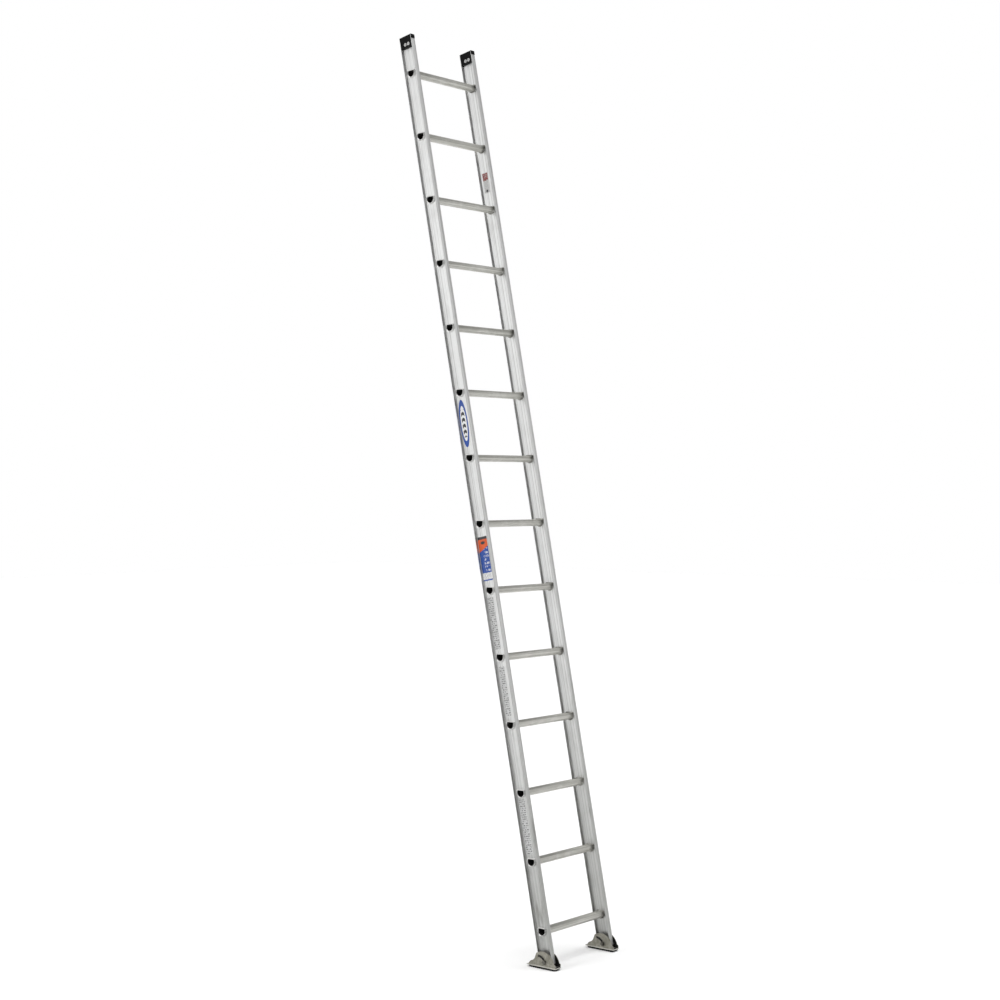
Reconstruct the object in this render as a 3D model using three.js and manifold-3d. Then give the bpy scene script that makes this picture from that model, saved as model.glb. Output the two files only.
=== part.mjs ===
// Single-section aluminium ladder with D-shaped rungs, standing on two swivelling shoes.
// Millimetres. +X runs along the rungs, +Y is the side the ladder leans towards, +Z is up.
// The rails lean by LEAN_DEG, the shoes stand flat on the floor plane and the rung treads are level.
import * as THREE from "three";
import { mergeVertices } from "three/addons/utils/BufferGeometryUtils.js";
import Module from "manifold-3d";

const wasm = await Module();
wasm.setup();
const { Manifold, Mesh: SolidMesh } = wasm;

// Overall layout
const LEAN_DEG = 11.2;
const RUNG_COUNT = 14;
const RUNG_PITCH = 304.8;
const RAIL_SPACING = 431;
const FIRST_RUNG_FROM_BOLT = 131.5;
const TOP_RUNG_TO_CAP_TOP = 180;
const BOLT_HEIGHT = 32;

// Rail section: an I with one web and two flanges
const RAIL_WIDTH = 26;
const WEB_THICKNESS = 1.8;
const FLANGE_THICKNESS = 2.2;
const RAIL_FILLET = 2.4;
const FLANGE_EDGE = 0.7;

// Rung section: flat tread on top, sides that run into an elliptical belly
const RUNG_WIDTH = 38;
const RUNG_TREAD_HEIGHT = 13;
const RUNG_BELLY_DEPTH = 20;
const RUNG_BELLY_START = 2;
const RUNG_CORNER = 5;
const RUNG_WALL = 1.5;
const RUNG_PROUD = 10;
const COLLAR_HEIGHT = 4.5;
const COLLAR_TO_FILLET = 7.9;
const COLLAR_SHOULDER = 3.4;
const COLLAR_LENGTH = 3;
const RIM_HEIGHT = 1.6;
const RIM_LENGTH = 1.5;
const BEAD_LENGTH = 6;
const FLARE_LENGTH = 3;

// Fits
const GAP = 0.3;
const SLOT_CLEARANCE = 0.3;
const RAIL_END_CLEARANCE = 1.25;
const PAD_RIVET_TO_RAIL = 5;

// End caps
const CAP_WALL = 2;
const CAP_MOUTH = 6;
const CAP_HEIGHT = 59;
const CAP_TOP = 4;
const CAP_LIP = 20;
const CAP_EDGE = 2;
const CAP_RIVET_RISE = 17;
const CAP_RIVET_SPACING = 19;
const CAP_RIVET_OFFSET = -5;
const CAP_RIVET_RADIUS = 2.4;
const CAP_RIVET_HEAD = 4.4;
const CAP_RIVET_DOME = 2;

// Shoe: a channel of two side plates on a base, measured from its front lower corner
const SHOE_PLATE = 3;
const SHOE_SIDE_PLAY = 4;
const SHOE_BASE = 4;
const SHOE_BOLT_Y = 60;
const SHOE_PLATE_ARC_Y = 70;
const SHOE_PLATE_ARC_Z = 12;
const SHOE_PLATE_RADIUS = 65;
const SHOE_TOE = 164;
const SHOE_LIP = 1.6;
const SHOE_LIP_HEIGHT = 3;
const SHOE_LIP_LENGTH = 146;
const SHOE_FRONT = 0.5;
const SLOT_RADIUS = 35.1;
const SLOT_START_DEG = 160;
const SLOT_END_DEG = 92;
const SPUR_TEETH = 3;
const SPUR_DEPTH = 9;

// Rubber tread pad under the shoe
const PAD_THICKNESS = 8;
const PAD_WIDTH = 37;
const PAD_START = 2.5;
const PAD_END = 148;
const PAD_NOSE = 12.5;
const PAD_TAIL = 6;
const PAD_GROOVES = 11;
const PAD_GROOVE_DEPTH = 2.2;
const PAD_RIVET_RADIUS = 2.5;
const PAD_RIVET_HEAD = 4.5;
const PAD_RIVET_FRONT = 14;
const PAD_RIVET_TOE = 136;

// Shoe bolt and what is threaded on it
const BOLT_RADIUS = 4.9;
const BOLT_HEAD_ACROSS = 16;
const BOLT_HEAD_HEIGHT = 5;
const NUT_HEIGHT = 7;
const BOLT_TAIL = 2.5;
const WASHER_RADIUS = 10;
const WASHER_THICKNESS = 1.6;
const SPACER_RADIUS = 8;

// Thin labels stuck to the rails' webs, each between two rungs, less a margin below and above,
// and shifted from the web's middle towards the rear flange
const LABEL_THICKNESS = 0.3;
const LABEL_GAP = 0.05;
const LEFT_LABELS = [
  {
    name: "label_oval", oval: true, width: 47, shift: 7, rung: 7, below: 50, above: 34,
    film: "label_blue",
  },
  { name: "label_duty", width: 54, shift: 4, rung: 5, below: 44, above: 60, film: "label_orange" },
  { name: "label_notice_upper", width: 41, shift: 10, rung: 4, below: 38, above: 31, film: "label_grey" },
  { name: "label_notice_middle", width: 34, shift: 5, rung: 3, below: 41, above: 43, film: "label_grey" },
  { name: "label_notice_lower", width: 40, shift: 5, rung: 1, below: 32, above: 29, film: "label_grey" },
];
const RIGHT_LABELS = [
  { name: "label_inner", width: 31, shift: 4, rung: 11, below: 86, above: 120, film: "label_red" },
];

const LEAN = THREE.MathUtils.degToRad(LEAN_DEG);
const SIDES = [
  { name: "left", sign: -1, labels: LEFT_LABELS },
  { name: "right", sign: 1, labels: RIGHT_LABELS },
];
const WEB_FACE = WEB_THICKNESS / 2;
// The rungs' collars sit between the web's fillets, which sets the rail's depth.
const RAIL_DEPTH = RUNG_WIDTH
  + 2 * (COLLAR_HEIGHT + COLLAR_TO_FILLET + RAIL_FILLET + FLANGE_THICKNESS);
const HOLE_RADIUS = BOLT_RADIUS + SLOT_CLEARANCE;
const SHOE_INNER = RAIL_WIDTH / 2 + SHOE_SIDE_PLAY;
const SHOE_OUTER = SHOE_INNER + SHOE_PLATE;
const RAIL_TOP = FIRST_RUNG_FROM_BOLT + (RUNG_COUNT - 1) * RUNG_PITCH
  + TOP_RUNG_TO_CAP_TOP - CAP_TOP - GAP;
const CAP_FOOT = RAIL_TOP + CAP_TOP + GAP - CAP_HEIGHT;
const BASE_TOP = PAD_THICKNESS + SHOE_BASE;
// The rail is cut square, so its rear corner comes nearest to the shoe's base.
const BOLT_TO_RAIL_END = (
  BOLT_HEIGHT - BASE_TOP - RAIL_END_CLEARANCE - (RAIL_DEPTH / 2) * Math.sin(LEAN)
) / Math.cos(LEAN);
// One pad rivet in front of the rail, one just behind it and one near the toe.
const PAD_RIVET_PLACES = [
  PAD_RIVET_FRONT,
  SHOE_BOLT_Y + RAIL_DEPTH / 2 + PAD_RIVET_TO_RAIL,
  PAD_RIVET_TOE,
];

const railAluminium = () => new THREE.MeshStandardMaterial({
  name: "rail_aluminium", color: 0xd9dadb, metalness: 0.85, roughness: 0.38,
});
const rungAluminium = () => new THREE.MeshStandardMaterial({
  name: "rung_aluminium", color: 0xcfcdc4, metalness: 0.8, roughness: 0.42,
});
const shoeAluminium = () => new THREE.MeshStandardMaterial({
  name: "shoe_aluminium", color: 0xb9b4a3, metalness: 0.7, roughness: 0.5,
});
const rivetAluminium = () => new THREE.MeshStandardMaterial({
  name: "rivet_aluminium", color: 0xd4d5d6, metalness: 0.9, roughness: 0.3,
});
const zincSteel = () => new THREE.MeshStandardMaterial({
  name: "zinc_steel", color: 0x9c9d9b, metalness: 0.9, roughness: 0.35,
});
const blackPlastic = () => new THREE.MeshStandardMaterial({
  name: "black_plastic", color: 0x141414, metalness: 0, roughness: 0.5,
});
const blackRubber = () => new THREE.MeshStandardMaterial({
  name: "black_rubber", color: 0x1b1b1a, metalness: 0, roughness: 0.85,
});
const FILM_COLOURS = {
  label_blue: 0x2f4ea0,
  label_orange: 0xe2762b,
  label_grey: 0xb9bbba,
  label_red: 0xb8473c,
};
const labelFilm = (name) => new THREE.MeshStandardMaterial({
  name, color: FILM_COLOURS[name], metalness: 0, roughness: 0.45,
});

// Turns a closed geometry into a solid that can be joined and cut.
function toSolid(geometry) {
  const bare = geometry.clone();
  bare.deleteAttribute("normal");
  bare.deleteAttribute("uv");
  const merged = mergeVertices(bare);
  return new Manifold(new SolidMesh({
    numProp: 3,
    vertProperties: merged.getAttribute("position").array,
    triVerts: Uint32Array.from(merged.index.array),
  }));
}

// Turns a solid back into an indexed geometry.
function toGeometry(solid) {
  const mesh = solid.getMesh();
  const geometry = new THREE.BufferGeometry();
  const spots = [];
  for (let i = 0; i < mesh.vertProperties.length; i += mesh.numProp) {
    spots.push(mesh.vertProperties[i], mesh.vertProperties[i + 1], mesh.vertProperties[i + 2]);
  }
  geometry.setAttribute("position", new THREE.Float32BufferAttribute(spots, 3));
  geometry.setIndex([...mesh.triVerts]);
  geometry.computeVertexNormals();
  return geometry;
}

// Extrudes a flat outline, given as (y, z) pairs, from x = from to x = to.
function plateAlongX(outline, from, to, holes = []) {
  const shape = new THREE.Shape(outline.map(([y, z]) => new THREE.Vector2(y, z)));
  for (const hole of holes) {
    shape.holes.push(new THREE.Path(hole.map(([y, z]) => new THREE.Vector2(y, z))));
  }
  const geometry = new THREE.ExtrudeGeometry(shape, { depth: to - from, bevelEnabled: false, steps: 1 });
  const turn = new THREE.Matrix4().makeBasis(
    new THREE.Vector3(0, 1, 0),
    new THREE.Vector3(0, 0, 1),
    new THREE.Vector3(1, 0, 0),
  );
  geometry.applyMatrix4(turn);
  geometry.translate(from, 0, 0);
  return geometry;
}

// Points on a circular arc, angles in degrees.
function arc(cy, cz, radius, startDeg, endDeg, steps) {
  const points = [];
  for (let i = 0; i <= steps; i += 1) {
    const angle = THREE.MathUtils.degToRad(startDeg + ((endDeg - startDeg) * i) / steps);
    points.push([cy + radius * Math.cos(angle), cz + radius * Math.sin(angle)]);
  }
  return points;
}

// A solid cylinder whose axis runs along X.
function rodAlongX(radius, from, to, segments = 20) {
  const geometry = new THREE.CylinderGeometry(radius, radius, to - from, segments);
  geometry.rotateZ(Math.PI / 2);
  geometry.translate((from + to) / 2, 0, 0);
  return geometry;
}

// A ring whose axis runs along X.
function tubeAlongX(outer, inner, from, to, segments = 20) {
  const turn = arc(0, 0, outer, 0, 360, segments).slice(0, -1);
  const bore = arc(0, 0, inner, 0, -360, segments).slice(0, -1);
  return plateAlongX(turn, from, to, [bore]);
}

// The rail's outline across its length: x is across the flanges, y is the depth.
function railOutline() {
  const w = RAIL_WIDTH / 2;
  const d = RAIL_DEPTH / 2;
  const inner = d - FLANGE_THICKNESS;
  const quarter = [
    [w - FLANGE_EDGE, d],
    [w, d - FLANGE_EDGE],
    [w, inner + FLANGE_EDGE * 0.5],
    [w - FLANGE_EDGE * 0.5, inner],
    [WEB_FACE + RAIL_FILLET, inner],
    [WEB_FACE + RAIL_FILLET * 0.3, inner - RAIL_FILLET * 0.3],
    [WEB_FACE, inner - RAIL_FILLET],
  ];
  const mirrored = (flipX, flipY, list) => list.map(([x, y]) => [x * flipX, y * flipY]);
  return [
    ...quarter,
    ...mirrored(1, -1, quarter).reverse(),
    ...mirrored(-1, -1, quarter),
    ...mirrored(-1, 1, quarter).reverse(),
  ];
}

// The rung's outline as (y, z) pairs, grown outwards by the offset.
function rungOutline(offset) {
  const half = RUNG_WIDTH / 2 + offset;
  const corner = RUNG_CORNER + offset * 0.5;
  const top = RUNG_TREAD_HEIGHT + offset;
  const right = arc(half - corner, top - corner, corner, 0, 90, 2);
  const left = arc(corner - half, top - corner, corner, 90, 180, 2);
  const belly = [];
  const steps = 10;
  for (let i = 0; i <= steps; i += 1) {
    const angle = Math.PI + (Math.PI * i) / steps;
    const depth = RUNG_BELLY_DEPTH + offset;
    belly.push([half * Math.cos(angle), RUNG_BELLY_START + depth * Math.sin(angle)]);
  }
  return [...right, ...left, ...belly];
}

// Distance along the rail from the bolt to a rung's centre.
function rungPlace(index) {
  return FIRST_RUNG_FROM_BOLT + index * RUNG_PITCH;
}

// A rung's outline where it crosses a rail, turned level in the rail's own upright axes.
function rungOutlineInRail(index, offset) {
  const c = Math.cos(LEAN);
  const s = Math.sin(LEAN);
  return rungOutline(offset).map(([y, z]) => [y * c - z * s, rungPlace(index) + y * s + z * c]);
}

// A rail in its own upright axes, with the shoe bolt at the origin.
function buildRail() {
  const shape = new THREE.Shape(railOutline().map(([x, y]) => new THREE.Vector2(x, y)));
  const length = RAIL_TOP + BOLT_TO_RAIL_END;
  const bar = new THREE.ExtrudeGeometry(shape, { depth: length, bevelEnabled: false, steps: 1 });
  bar.translate(0, 0, -BOLT_TO_RAIL_END);
  let rail = toSolid(bar);
  const cutters = [];
  for (let i = 0; i < RUNG_COUNT; i += 1) {
    cutters.push(toSolid(plateAlongX(rungOutlineInRail(i, GAP), -WEB_THICKNESS, WEB_THICKNESS)));
  }
  cutters.push(toSolid(rodAlongX(HOLE_RADIUS, -WEB_THICKNESS, WEB_THICKNESS)));
  for (const y of capRivetPlaces()) {
    const drill = rodAlongX(CAP_RIVET_RADIUS + GAP, -WEB_THICKNESS, WEB_THICKNESS, 12);
    drill.translate(0, y, CAP_FOOT + CAP_RIVET_RISE);
    cutters.push(toSolid(drill));
  }
  rail = rail.subtract(Manifold.union(cutters));
  return toGeometry(rail);
}

// The rings of a rung as [x, outline offset], from the left end to the right end, then back inside.
function rungRings() {
  const web = RAIL_SPACING / 2;
  const outside = web + WEB_FACE + GAP;
  const inside = web - WEB_FACE - GAP;
  const end = web + WEB_FACE + RUNG_PROUD;
  const half = [
    [end, RIM_HEIGHT],
    [end - RIM_LENGTH, RIM_HEIGHT + 0.9],
    [outside + COLLAR_LENGTH, COLLAR_SHOULDER],
    [outside, COLLAR_HEIGHT],
    [outside, 0],
    [inside, 0],
    [inside, COLLAR_HEIGHT],
    [inside - COLLAR_LENGTH, COLLAR_SHOULDER],
    [inside - BEAD_LENGTH, 0],
  ];
  const bore = [
    [end - FLARE_LENGTH, -RUNG_WALL],
    [end, -RUNG_WALL * 0.1],
  ];
  const flip = (list) => list.map(([x, o]) => [-x, o]);
  return [
    ...flip(half),
    ...[...half].reverse(),
    ...[...bore].reverse(),
    ...flip(bore),
  ];
}

// A level rung, hollow from end to end, with its centre at the origin.
function buildRung() {
  const rings = rungRings();
  const count = rungOutline(0).length;
  const spots = [];
  for (const [x, offset] of rings) {
    for (const [y, z] of rungOutline(offset)) spots.push(x, y, z);
  }
  const faces = [];
  for (let r = 0; r < rings.length; r += 1) {
    const next = (r + 1) % rings.length;
    for (let i = 0; i < count; i += 1) {
      const j = (i + 1) % count;
      const a = r * count + i;
      const b = r * count + j;
      const c = next * count + j;
      const d = next * count + i;
      faces.push(a, b, c, a, c, d);
    }
  }
  const geometry = new THREE.BufferGeometry();
  geometry.setAttribute("position", new THREE.Float32BufferAttribute(spots, 3));
  geometry.setIndex(faces);
  geometry.computeVertexNormals();
  return geometry;
}

function capRivetPlaces() {
  const half = CAP_RIVET_SPACING / 2;
  return [CAP_RIVET_OFFSET - half, CAP_RIVET_OFFSET + half];
}

// The cap plugs the rail's channels, covers its end and hangs over the front flange as a lip.
function buildCap() {
  const w = RAIL_WIDTH / 2;
  const front = -RAIL_DEPTH / 2;
  const back = RAIL_DEPTH / 2;
  const top = RAIL_TOP + GAP + CAP_TOP;
  const side = [
    [front + CAP_MOUTH, CAP_FOOT],
    [back, CAP_FOOT],
    [back, top - CAP_EDGE],
    [back - CAP_EDGE, top],
    [front - CAP_WALL - GAP + CAP_EDGE, top],
    [front - CAP_WALL - GAP, top - CAP_EDGE],
    [front - CAP_WALL - GAP, top - CAP_LIP],
    [front + CAP_MOUTH, top - CAP_LIP],
  ];
  let cap = toSolid(plateAlongX(side, -w, w));
  const socket = new THREE.Shape(railOutline().map(([x, y]) => {
    const growX = Math.sign(x) * GAP;
    const growY = Math.abs(y) > RAIL_DEPTH / 2 - FLANGE_THICKNESS - RAIL_FILLET * 0.5
      ? Math.sign(y) * (Math.abs(y) > RAIL_DEPTH / 2 - FLANGE_THICKNESS ? GAP : -GAP) : 0;
    return new THREE.Vector2(x + growX, y + growY);
  }));
  const hollow = new THREE.ExtrudeGeometry(socket, {
    depth: RAIL_TOP + GAP - CAP_FOOT + 10, bevelEnabled: false, steps: 1,
  });
  hollow.translate(0, 0, CAP_FOOT - 10);
  const cutters = [toSolid(hollow)];
  for (const y of capRivetPlaces()) {
    const drill = rodAlongX(CAP_RIVET_RADIUS + GAP, -w - 1, w + 1, 12);
    drill.translate(0, y, CAP_FOOT + CAP_RIVET_RISE);
    cutters.push(toSolid(drill));
  }
  cap = cap.subtract(Manifold.union(cutters));
  return toGeometry(cap);
}

// A rivet along X through the cap and the web, domed on both outer faces.
function buildCapRivet() {
  const face = RAIL_WIDTH / 2 + GAP;
  const dome = face + CAP_RIVET_DOME;
  const profile = [
    [0, -dome],
    [CAP_RIVET_HEAD * 0.6, -dome + CAP_RIVET_DOME * 0.2],
    [CAP_RIVET_HEAD, -face - CAP_RIVET_DOME * 0.3],
    [CAP_RIVET_HEAD, -face],
    [CAP_RIVET_RADIUS, -face],
    [CAP_RIVET_RADIUS, face],
    [CAP_RIVET_HEAD, face],
    [CAP_RIVET_HEAD, face + CAP_RIVET_DOME * 0.3],
    [CAP_RIVET_HEAD * 0.6, dome - CAP_RIVET_DOME * 0.2],
    [0, dome],
  ];
  const geometry = new THREE.LatheGeometry(profile.map(([r, x]) => new THREE.Vector2(r, x)), 12);
  geometry.rotateZ(-Math.PI / 2);
  return geometry;
}

// Centre of the slot's arc, so that the arc starts at the bolt.
function slotCentre() {
  const start = THREE.MathUtils.degToRad(SLOT_START_DEG);
  return [
    SHOE_BOLT_Y - SLOT_RADIUS * Math.cos(start),
    BOLT_HEIGHT - SLOT_RADIUS * Math.sin(start),
  ];
}

// The curved slot that the bolt travels in, wound against the plate's outline.
function slotOutline() {
  const [cy, cz] = slotCentre();
  const ends = [SLOT_START_DEG, SLOT_END_DEG].map((deg) => {
    const a = THREE.MathUtils.degToRad(deg);
    return [cy + SLOT_RADIUS * Math.cos(a), cz + SLOT_RADIUS * Math.sin(a)];
  });
  const [low, high] = ends;
  return [
    ...arc(cy, cz, SLOT_RADIUS + HOLE_RADIUS, SLOT_START_DEG, SLOT_END_DEG, 10),
    ...arc(high[0], high[1], HOLE_RADIUS, SLOT_END_DEG, SLOT_END_DEG - 180, 8).slice(1, -1),
    ...arc(cy, cz, SLOT_RADIUS - HOLE_RADIUS, SLOT_END_DEG, SLOT_START_DEG, 8),
    ...arc(low[0], low[1], HOLE_RADIUS, SLOT_START_DEG + 180, SLOT_START_DEG, 8).slice(1, -1),
  ];
}

// Upright drills at the pad rivets' places, joined into one cutter.
function padRivetDrills(low, high) {
  const radius = PAD_RIVET_RADIUS + GAP;
  return Manifold.union(PAD_RIVET_PLACES.map((y) => {
    const drill = new THREE.CylinderGeometry(radius, radius, high - low, 12);
    drill.rotateX(Math.PI / 2);
    drill.translate(0, y, (low + high) / 2);
    return toSolid(drill);
  }));
}

// Outline of a shoe's side plate: a round crown over the bolt, running back to a low pointed toe.
function shoePlateOutline() {
  const crown = arc(SHOE_PLATE_ARC_Y, SHOE_PLATE_ARC_Z, SHOE_PLATE_RADIUS, 58, 164, 18);
  const toe = SHOE_TOE;
  return [
    [SHOE_FRONT, PAD_THICKNESS],
    [toe - 8, PAD_THICKNESS],
    [toe - 1, PAD_THICKNESS + 1.5],
    [toe - 12, PAD_THICKNESS + 4.5],
    [toe - 17, PAD_THICKNESS + 9],
    [toe - 23, 25],
    [toe - 29, 29],
    [toe - 39, 33.5],
    [toe - 46, 39],
    [toe - 51, 47],
    [toe - 55, 58],
    ...crown,
    [SHOE_FRONT, 24],
  ];
}

function buildShoe() {
  const slot = slotOutline();
  const outline = shoePlateOutline();
  const plates = [
    toSolid(plateAlongX(outline, -SHOE_OUTER, -SHOE_INNER, [slot])),
    toSolid(plateAlongX(outline, SHOE_INNER, SHOE_OUTER, [slot])),
  ];
  const base = new THREE.Shape();
  const edge = SHOE_OUTER - 0.5;
  base.moveTo(SHOE_FRONT, -edge);
  const root = SHOE_TOE - SPUR_DEPTH;
  base.lineTo(root, -edge);
  const step = (2 * edge) / SPUR_TEETH;
  for (let i = 0; i < SPUR_TEETH; i += 1) {
    base.lineTo(SHOE_TOE, -edge + step * (i + 0.5));
    base.lineTo(root, -edge + step * (i + 1));
  }
  base.lineTo(SHOE_FRONT, edge);
  const floor = new THREE.ExtrudeGeometry(base, { depth: SHOE_BASE, bevelEnabled: false, steps: 1 });
  floor.applyMatrix4(new THREE.Matrix4().makeBasis(
    new THREE.Vector3(0, 1, 0),
    new THREE.Vector3(-1, 0, 0),
    new THREE.Vector3(0, 0, 1),
  ));
  floor.translate(0, 0, PAD_THICKNESS);
  const lips = [-1, 1].map((side) => {
    const lip = new THREE.BoxGeometry(SHOE_LIP + 1, SHOE_LIP_LENGTH, SHOE_LIP_HEIGHT);
    const out = side * (SHOE_OUTER + (SHOE_LIP - 1) / 2);
    lip.translate(out, SHOE_FRONT + SHOE_LIP_LENGTH / 2, PAD_THICKNESS + SHOE_LIP_HEIGHT / 2);
    return toSolid(lip);
  });
  let shoe = Manifold.union([...plates, toSolid(floor), ...lips]);
  shoe = shoe.subtract(padRivetDrills(PAD_THICKNESS - 2, BASE_TOP + 2));
  return toGeometry(shoe);
}

// The rubber pad, grooved across underneath, with a sloping front and back.
function buildPad() {
  const top = PAD_THICKNESS - GAP;
  const low = [];
  const first = PAD_START + PAD_NOSE;
  const run = (PAD_END - PAD_TAIL - first) / PAD_GROOVES;
  for (let i = 0; i < PAD_GROOVES; i += 1) {
    const y = first + i * run;
    low.push([y, 0]);
    low.push([y + run * 0.6, 0]);
    low.push([y + run * 0.7, PAD_GROOVE_DEPTH]);
    low.push([y + run * 0.9, PAD_GROOVE_DEPTH]);
  }
  low.push([PAD_END - PAD_TAIL, 0]);
  const outline = [...low, [PAD_END, top * 0.6], [PAD_END, top], [PAD_START, top], [PAD_START, top * 0.5]];
  let pad = toSolid(plateAlongX(outline, -PAD_WIDTH / 2, PAD_WIDTH / 2));
  pad = pad.subtract(padRivetDrills(PAD_THICKNESS / 2, PAD_THICKNESS + 2));
  return toGeometry(pad);
}

// A rivet with its head on the shoe's base and its shank set into the pad.
function buildPadRivet() {
  const foot = PAD_THICKNESS / 2 + GAP;
  const head = BASE_TOP + GAP;
  const profile = [
    [0, foot],
    [PAD_RIVET_RADIUS, foot],
    [PAD_RIVET_RADIUS, head],
    [PAD_RIVET_HEAD, head],
    [PAD_RIVET_HEAD, head + 0.6],
    [PAD_RIVET_HEAD * 0.6, head + 1.4],
    [0, head + 1.6],
  ];
  const geometry = new THREE.LatheGeometry(profile.map(([r, z]) => new THREE.Vector2(r, z)), 12);
  geometry.rotateX(Math.PI / 2);
  return geometry;
}

// Where things sit along the bolt, outwards from the web.
function boltStack() {
  const washerIn = SHOE_OUTER + GAP;
  const washerOut = washerIn + WASHER_THICKNESS;
  return { washerIn, washerOut, faceOut: washerOut + GAP };
}

// Hexagonal bolt along X, with its head on the +X side.
function buildBolt() {
  const { faceOut } = boltStack();
  const corner = BOLT_HEAD_ACROSS / 2 / Math.cos(Math.PI / 6);
  const head = rodAlongX(corner, faceOut, faceOut + BOLT_HEAD_HEIGHT, 6);
  const tail = faceOut + NUT_HEIGHT + BOLT_TAIL;
  const shank = rodAlongX(BOLT_RADIUS, -tail, faceOut + 0.5);
  return toGeometry(Manifold.union([toSolid(head), toSolid(shank)]));
}

function buildNut() {
  const { faceOut } = boltStack();
  const corner = BOLT_HEAD_ACROSS / 2 / Math.cos(Math.PI / 6);
  const outline = arc(0, 0, corner, 0, 360, 6).slice(0, -1);
  const bore = arc(0, 0, BOLT_RADIUS + GAP, 0, -360, 16).slice(0, -1);
  return plateAlongX(outline, -faceOut - NUT_HEIGHT, -faceOut, [bore]);
}

function buildWasher() {
  const { washerIn, washerOut } = boltStack();
  return tubeAlongX(WASHER_RADIUS, BOLT_RADIUS + GAP, washerIn, washerOut);
}

// A sleeve on the bolt between the web and one side plate.
function buildSpacer() {
  return tubeAlongX(SPACER_RADIUS, BOLT_RADIUS + GAP, WEB_FACE + GAP, SHOE_INNER - GAP, 16);
}

// A thin label on the -X face of a web.
function buildLabel(outline) {
  const face = -WEB_FACE - LABEL_GAP;
  return plateAlongX(outline, face - LABEL_THICKNESS, face);
}

// A label's outline in a rail's own axes: a rectangle, or the oval that fills it.
function labelOutline({ oval, width, shift, rung, below, above }) {
  const low = rungPlace(rung) + below;
  const high = rungPlace(rung + 1) - above;
  const w = width / 2;
  if (!oval) return [[shift - w, low], [shift + w, low], [shift + w, high], [shift - w, high]];
  return arc(0, 0, 1, 0, 360, 24).slice(0, -1).map(([y, z]) => [
    shift + y * w,
    (low + high) / 2 + (z * (high - low)) / 2,
  ]);
}

// Adds a named mesh to a group and returns it, so that it can be placed.
function add(group, name, geometry, material) {
  geometry.deleteAttribute("uv");
  const mesh = new THREE.Mesh(geometry, material());
  mesh.name = name;
  group.add(mesh);
  return mesh;
}

// A group at one rail's place, in the axes of the group that it is added to.
function sideGroup(parent, sign, y = 0, z = 0) {
  const group = new THREE.Group();
  group.position.set((sign * RAIL_SPACING) / 2, y, z);
  parent.add(group);
  return group;
}

function addRungs(frame) {
  for (let i = 0; i < RUNG_COUNT; i += 1) {
    const rung = add(frame, `rung_${String(i + 1).padStart(2, "0")}`, buildRung(), rungAluminium);
    rung.position.z = rungPlace(i);
    rung.rotation.x = LEAN;
  }
}

function addCap(side, name) {
  add(side, `${name}_cap`, buildCap(), blackPlastic);
  ["front", "rear"].forEach((place, i) => {
    const rivet = add(side, `${name}_cap_rivet_${place}`, buildCapRivet(), rivetAluminium);
    rivet.position.set(0, capRivetPlaces()[i], CAP_FOOT + CAP_RIVET_RISE);
  });
}

function addLabels(side, labels) {
  for (const label of labels) {
    add(side, label.name, buildLabel(labelOutline(label)), () => labelFilm(label.film));
  }
}

// The rails, rungs, caps and labels lean together about the shoe bolts.
function addFrame(ladder) {
  const frame = new THREE.Group();
  frame.rotation.x = -LEAN;
  frame.position.z = BOLT_HEIGHT;
  ladder.add(frame);
  for (const { name, sign, labels } of SIDES) {
    const side = sideGroup(frame, sign);
    add(side, `${name}_rail`, buildRail(), railAluminium);
    addCap(side, name);
    addLabels(side, labels);
  }
  addRungs(frame);
}

function addShoe(ladder, { name, sign }) {
  const shoe = sideGroup(ladder, sign, -SHOE_BOLT_Y);
  add(shoe, `${name}_shoe`, buildShoe(), shoeAluminium);
  add(shoe, `${name}_shoe_pad`, buildPad(), blackRubber);
  PAD_RIVET_PLACES.forEach((y, i) => {
    const rivet = add(shoe, `${name}_pad_rivet_${i + 1}`, buildPadRivet(), rivetAluminium);
    rivet.position.y = y;
  });
}

// The bolt's group turns so that its own +X points outboard on both sides.
function addShoeBolt(ladder, { name, sign }) {
  const bolt = sideGroup(ladder, sign, 0, BOLT_HEIGHT);
  bolt.rotation.z = sign > 0 ? 0 : Math.PI;
  add(bolt, `${name}_shoe_bolt`, buildBolt(), zincSteel);
  add(bolt, `${name}_shoe_nut`, buildNut(), zincSteel);
  add(bolt, `${name}_washer_outer`, buildWasher(), zincSteel);
  add(bolt, `${name}_washer_inner`, buildWasher(), zincSteel).rotation.z = Math.PI;
  add(bolt, `${name}_spacer_outer`, buildSpacer(), zincSteel);
  add(bolt, `${name}_spacer_inner`, buildSpacer(), zincSteel).rotation.z = Math.PI;
}

const part = new THREE.Group();
const ladder = new THREE.Group();
part.add(ladder);
addFrame(ladder);
for (const side of SIDES) {
  addShoe(ladder, side);
  addShoeBolt(ladder, side);
}

// The origin is on the floor, in the middle of the object's outline seen from above.
part.updateMatrixWorld(true);
const outline = new THREE.Box3().setFromObject(part, true);
const middle = outline.getCenter(new THREE.Vector3());
ladder.position.set(-middle.x, -middle.y, -outline.min.z);

export default part;
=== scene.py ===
"""Looks of a leaning aluminium ladder with D-shaped rungs and two swivelling shoes.

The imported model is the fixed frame. Every piece is modelled in metres around it, in the same axes:
+X runs along the rungs, +Y is the side that the ladder leans towards and +Z is up.
"""
import logging
import math
from collections.abc import Callable, Iterator, Sequence
from contextlib import contextmanager
from dataclasses import dataclass, field
from enum import Enum

import bmesh
import bpy
from mathutils import Matrix, Vector


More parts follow.
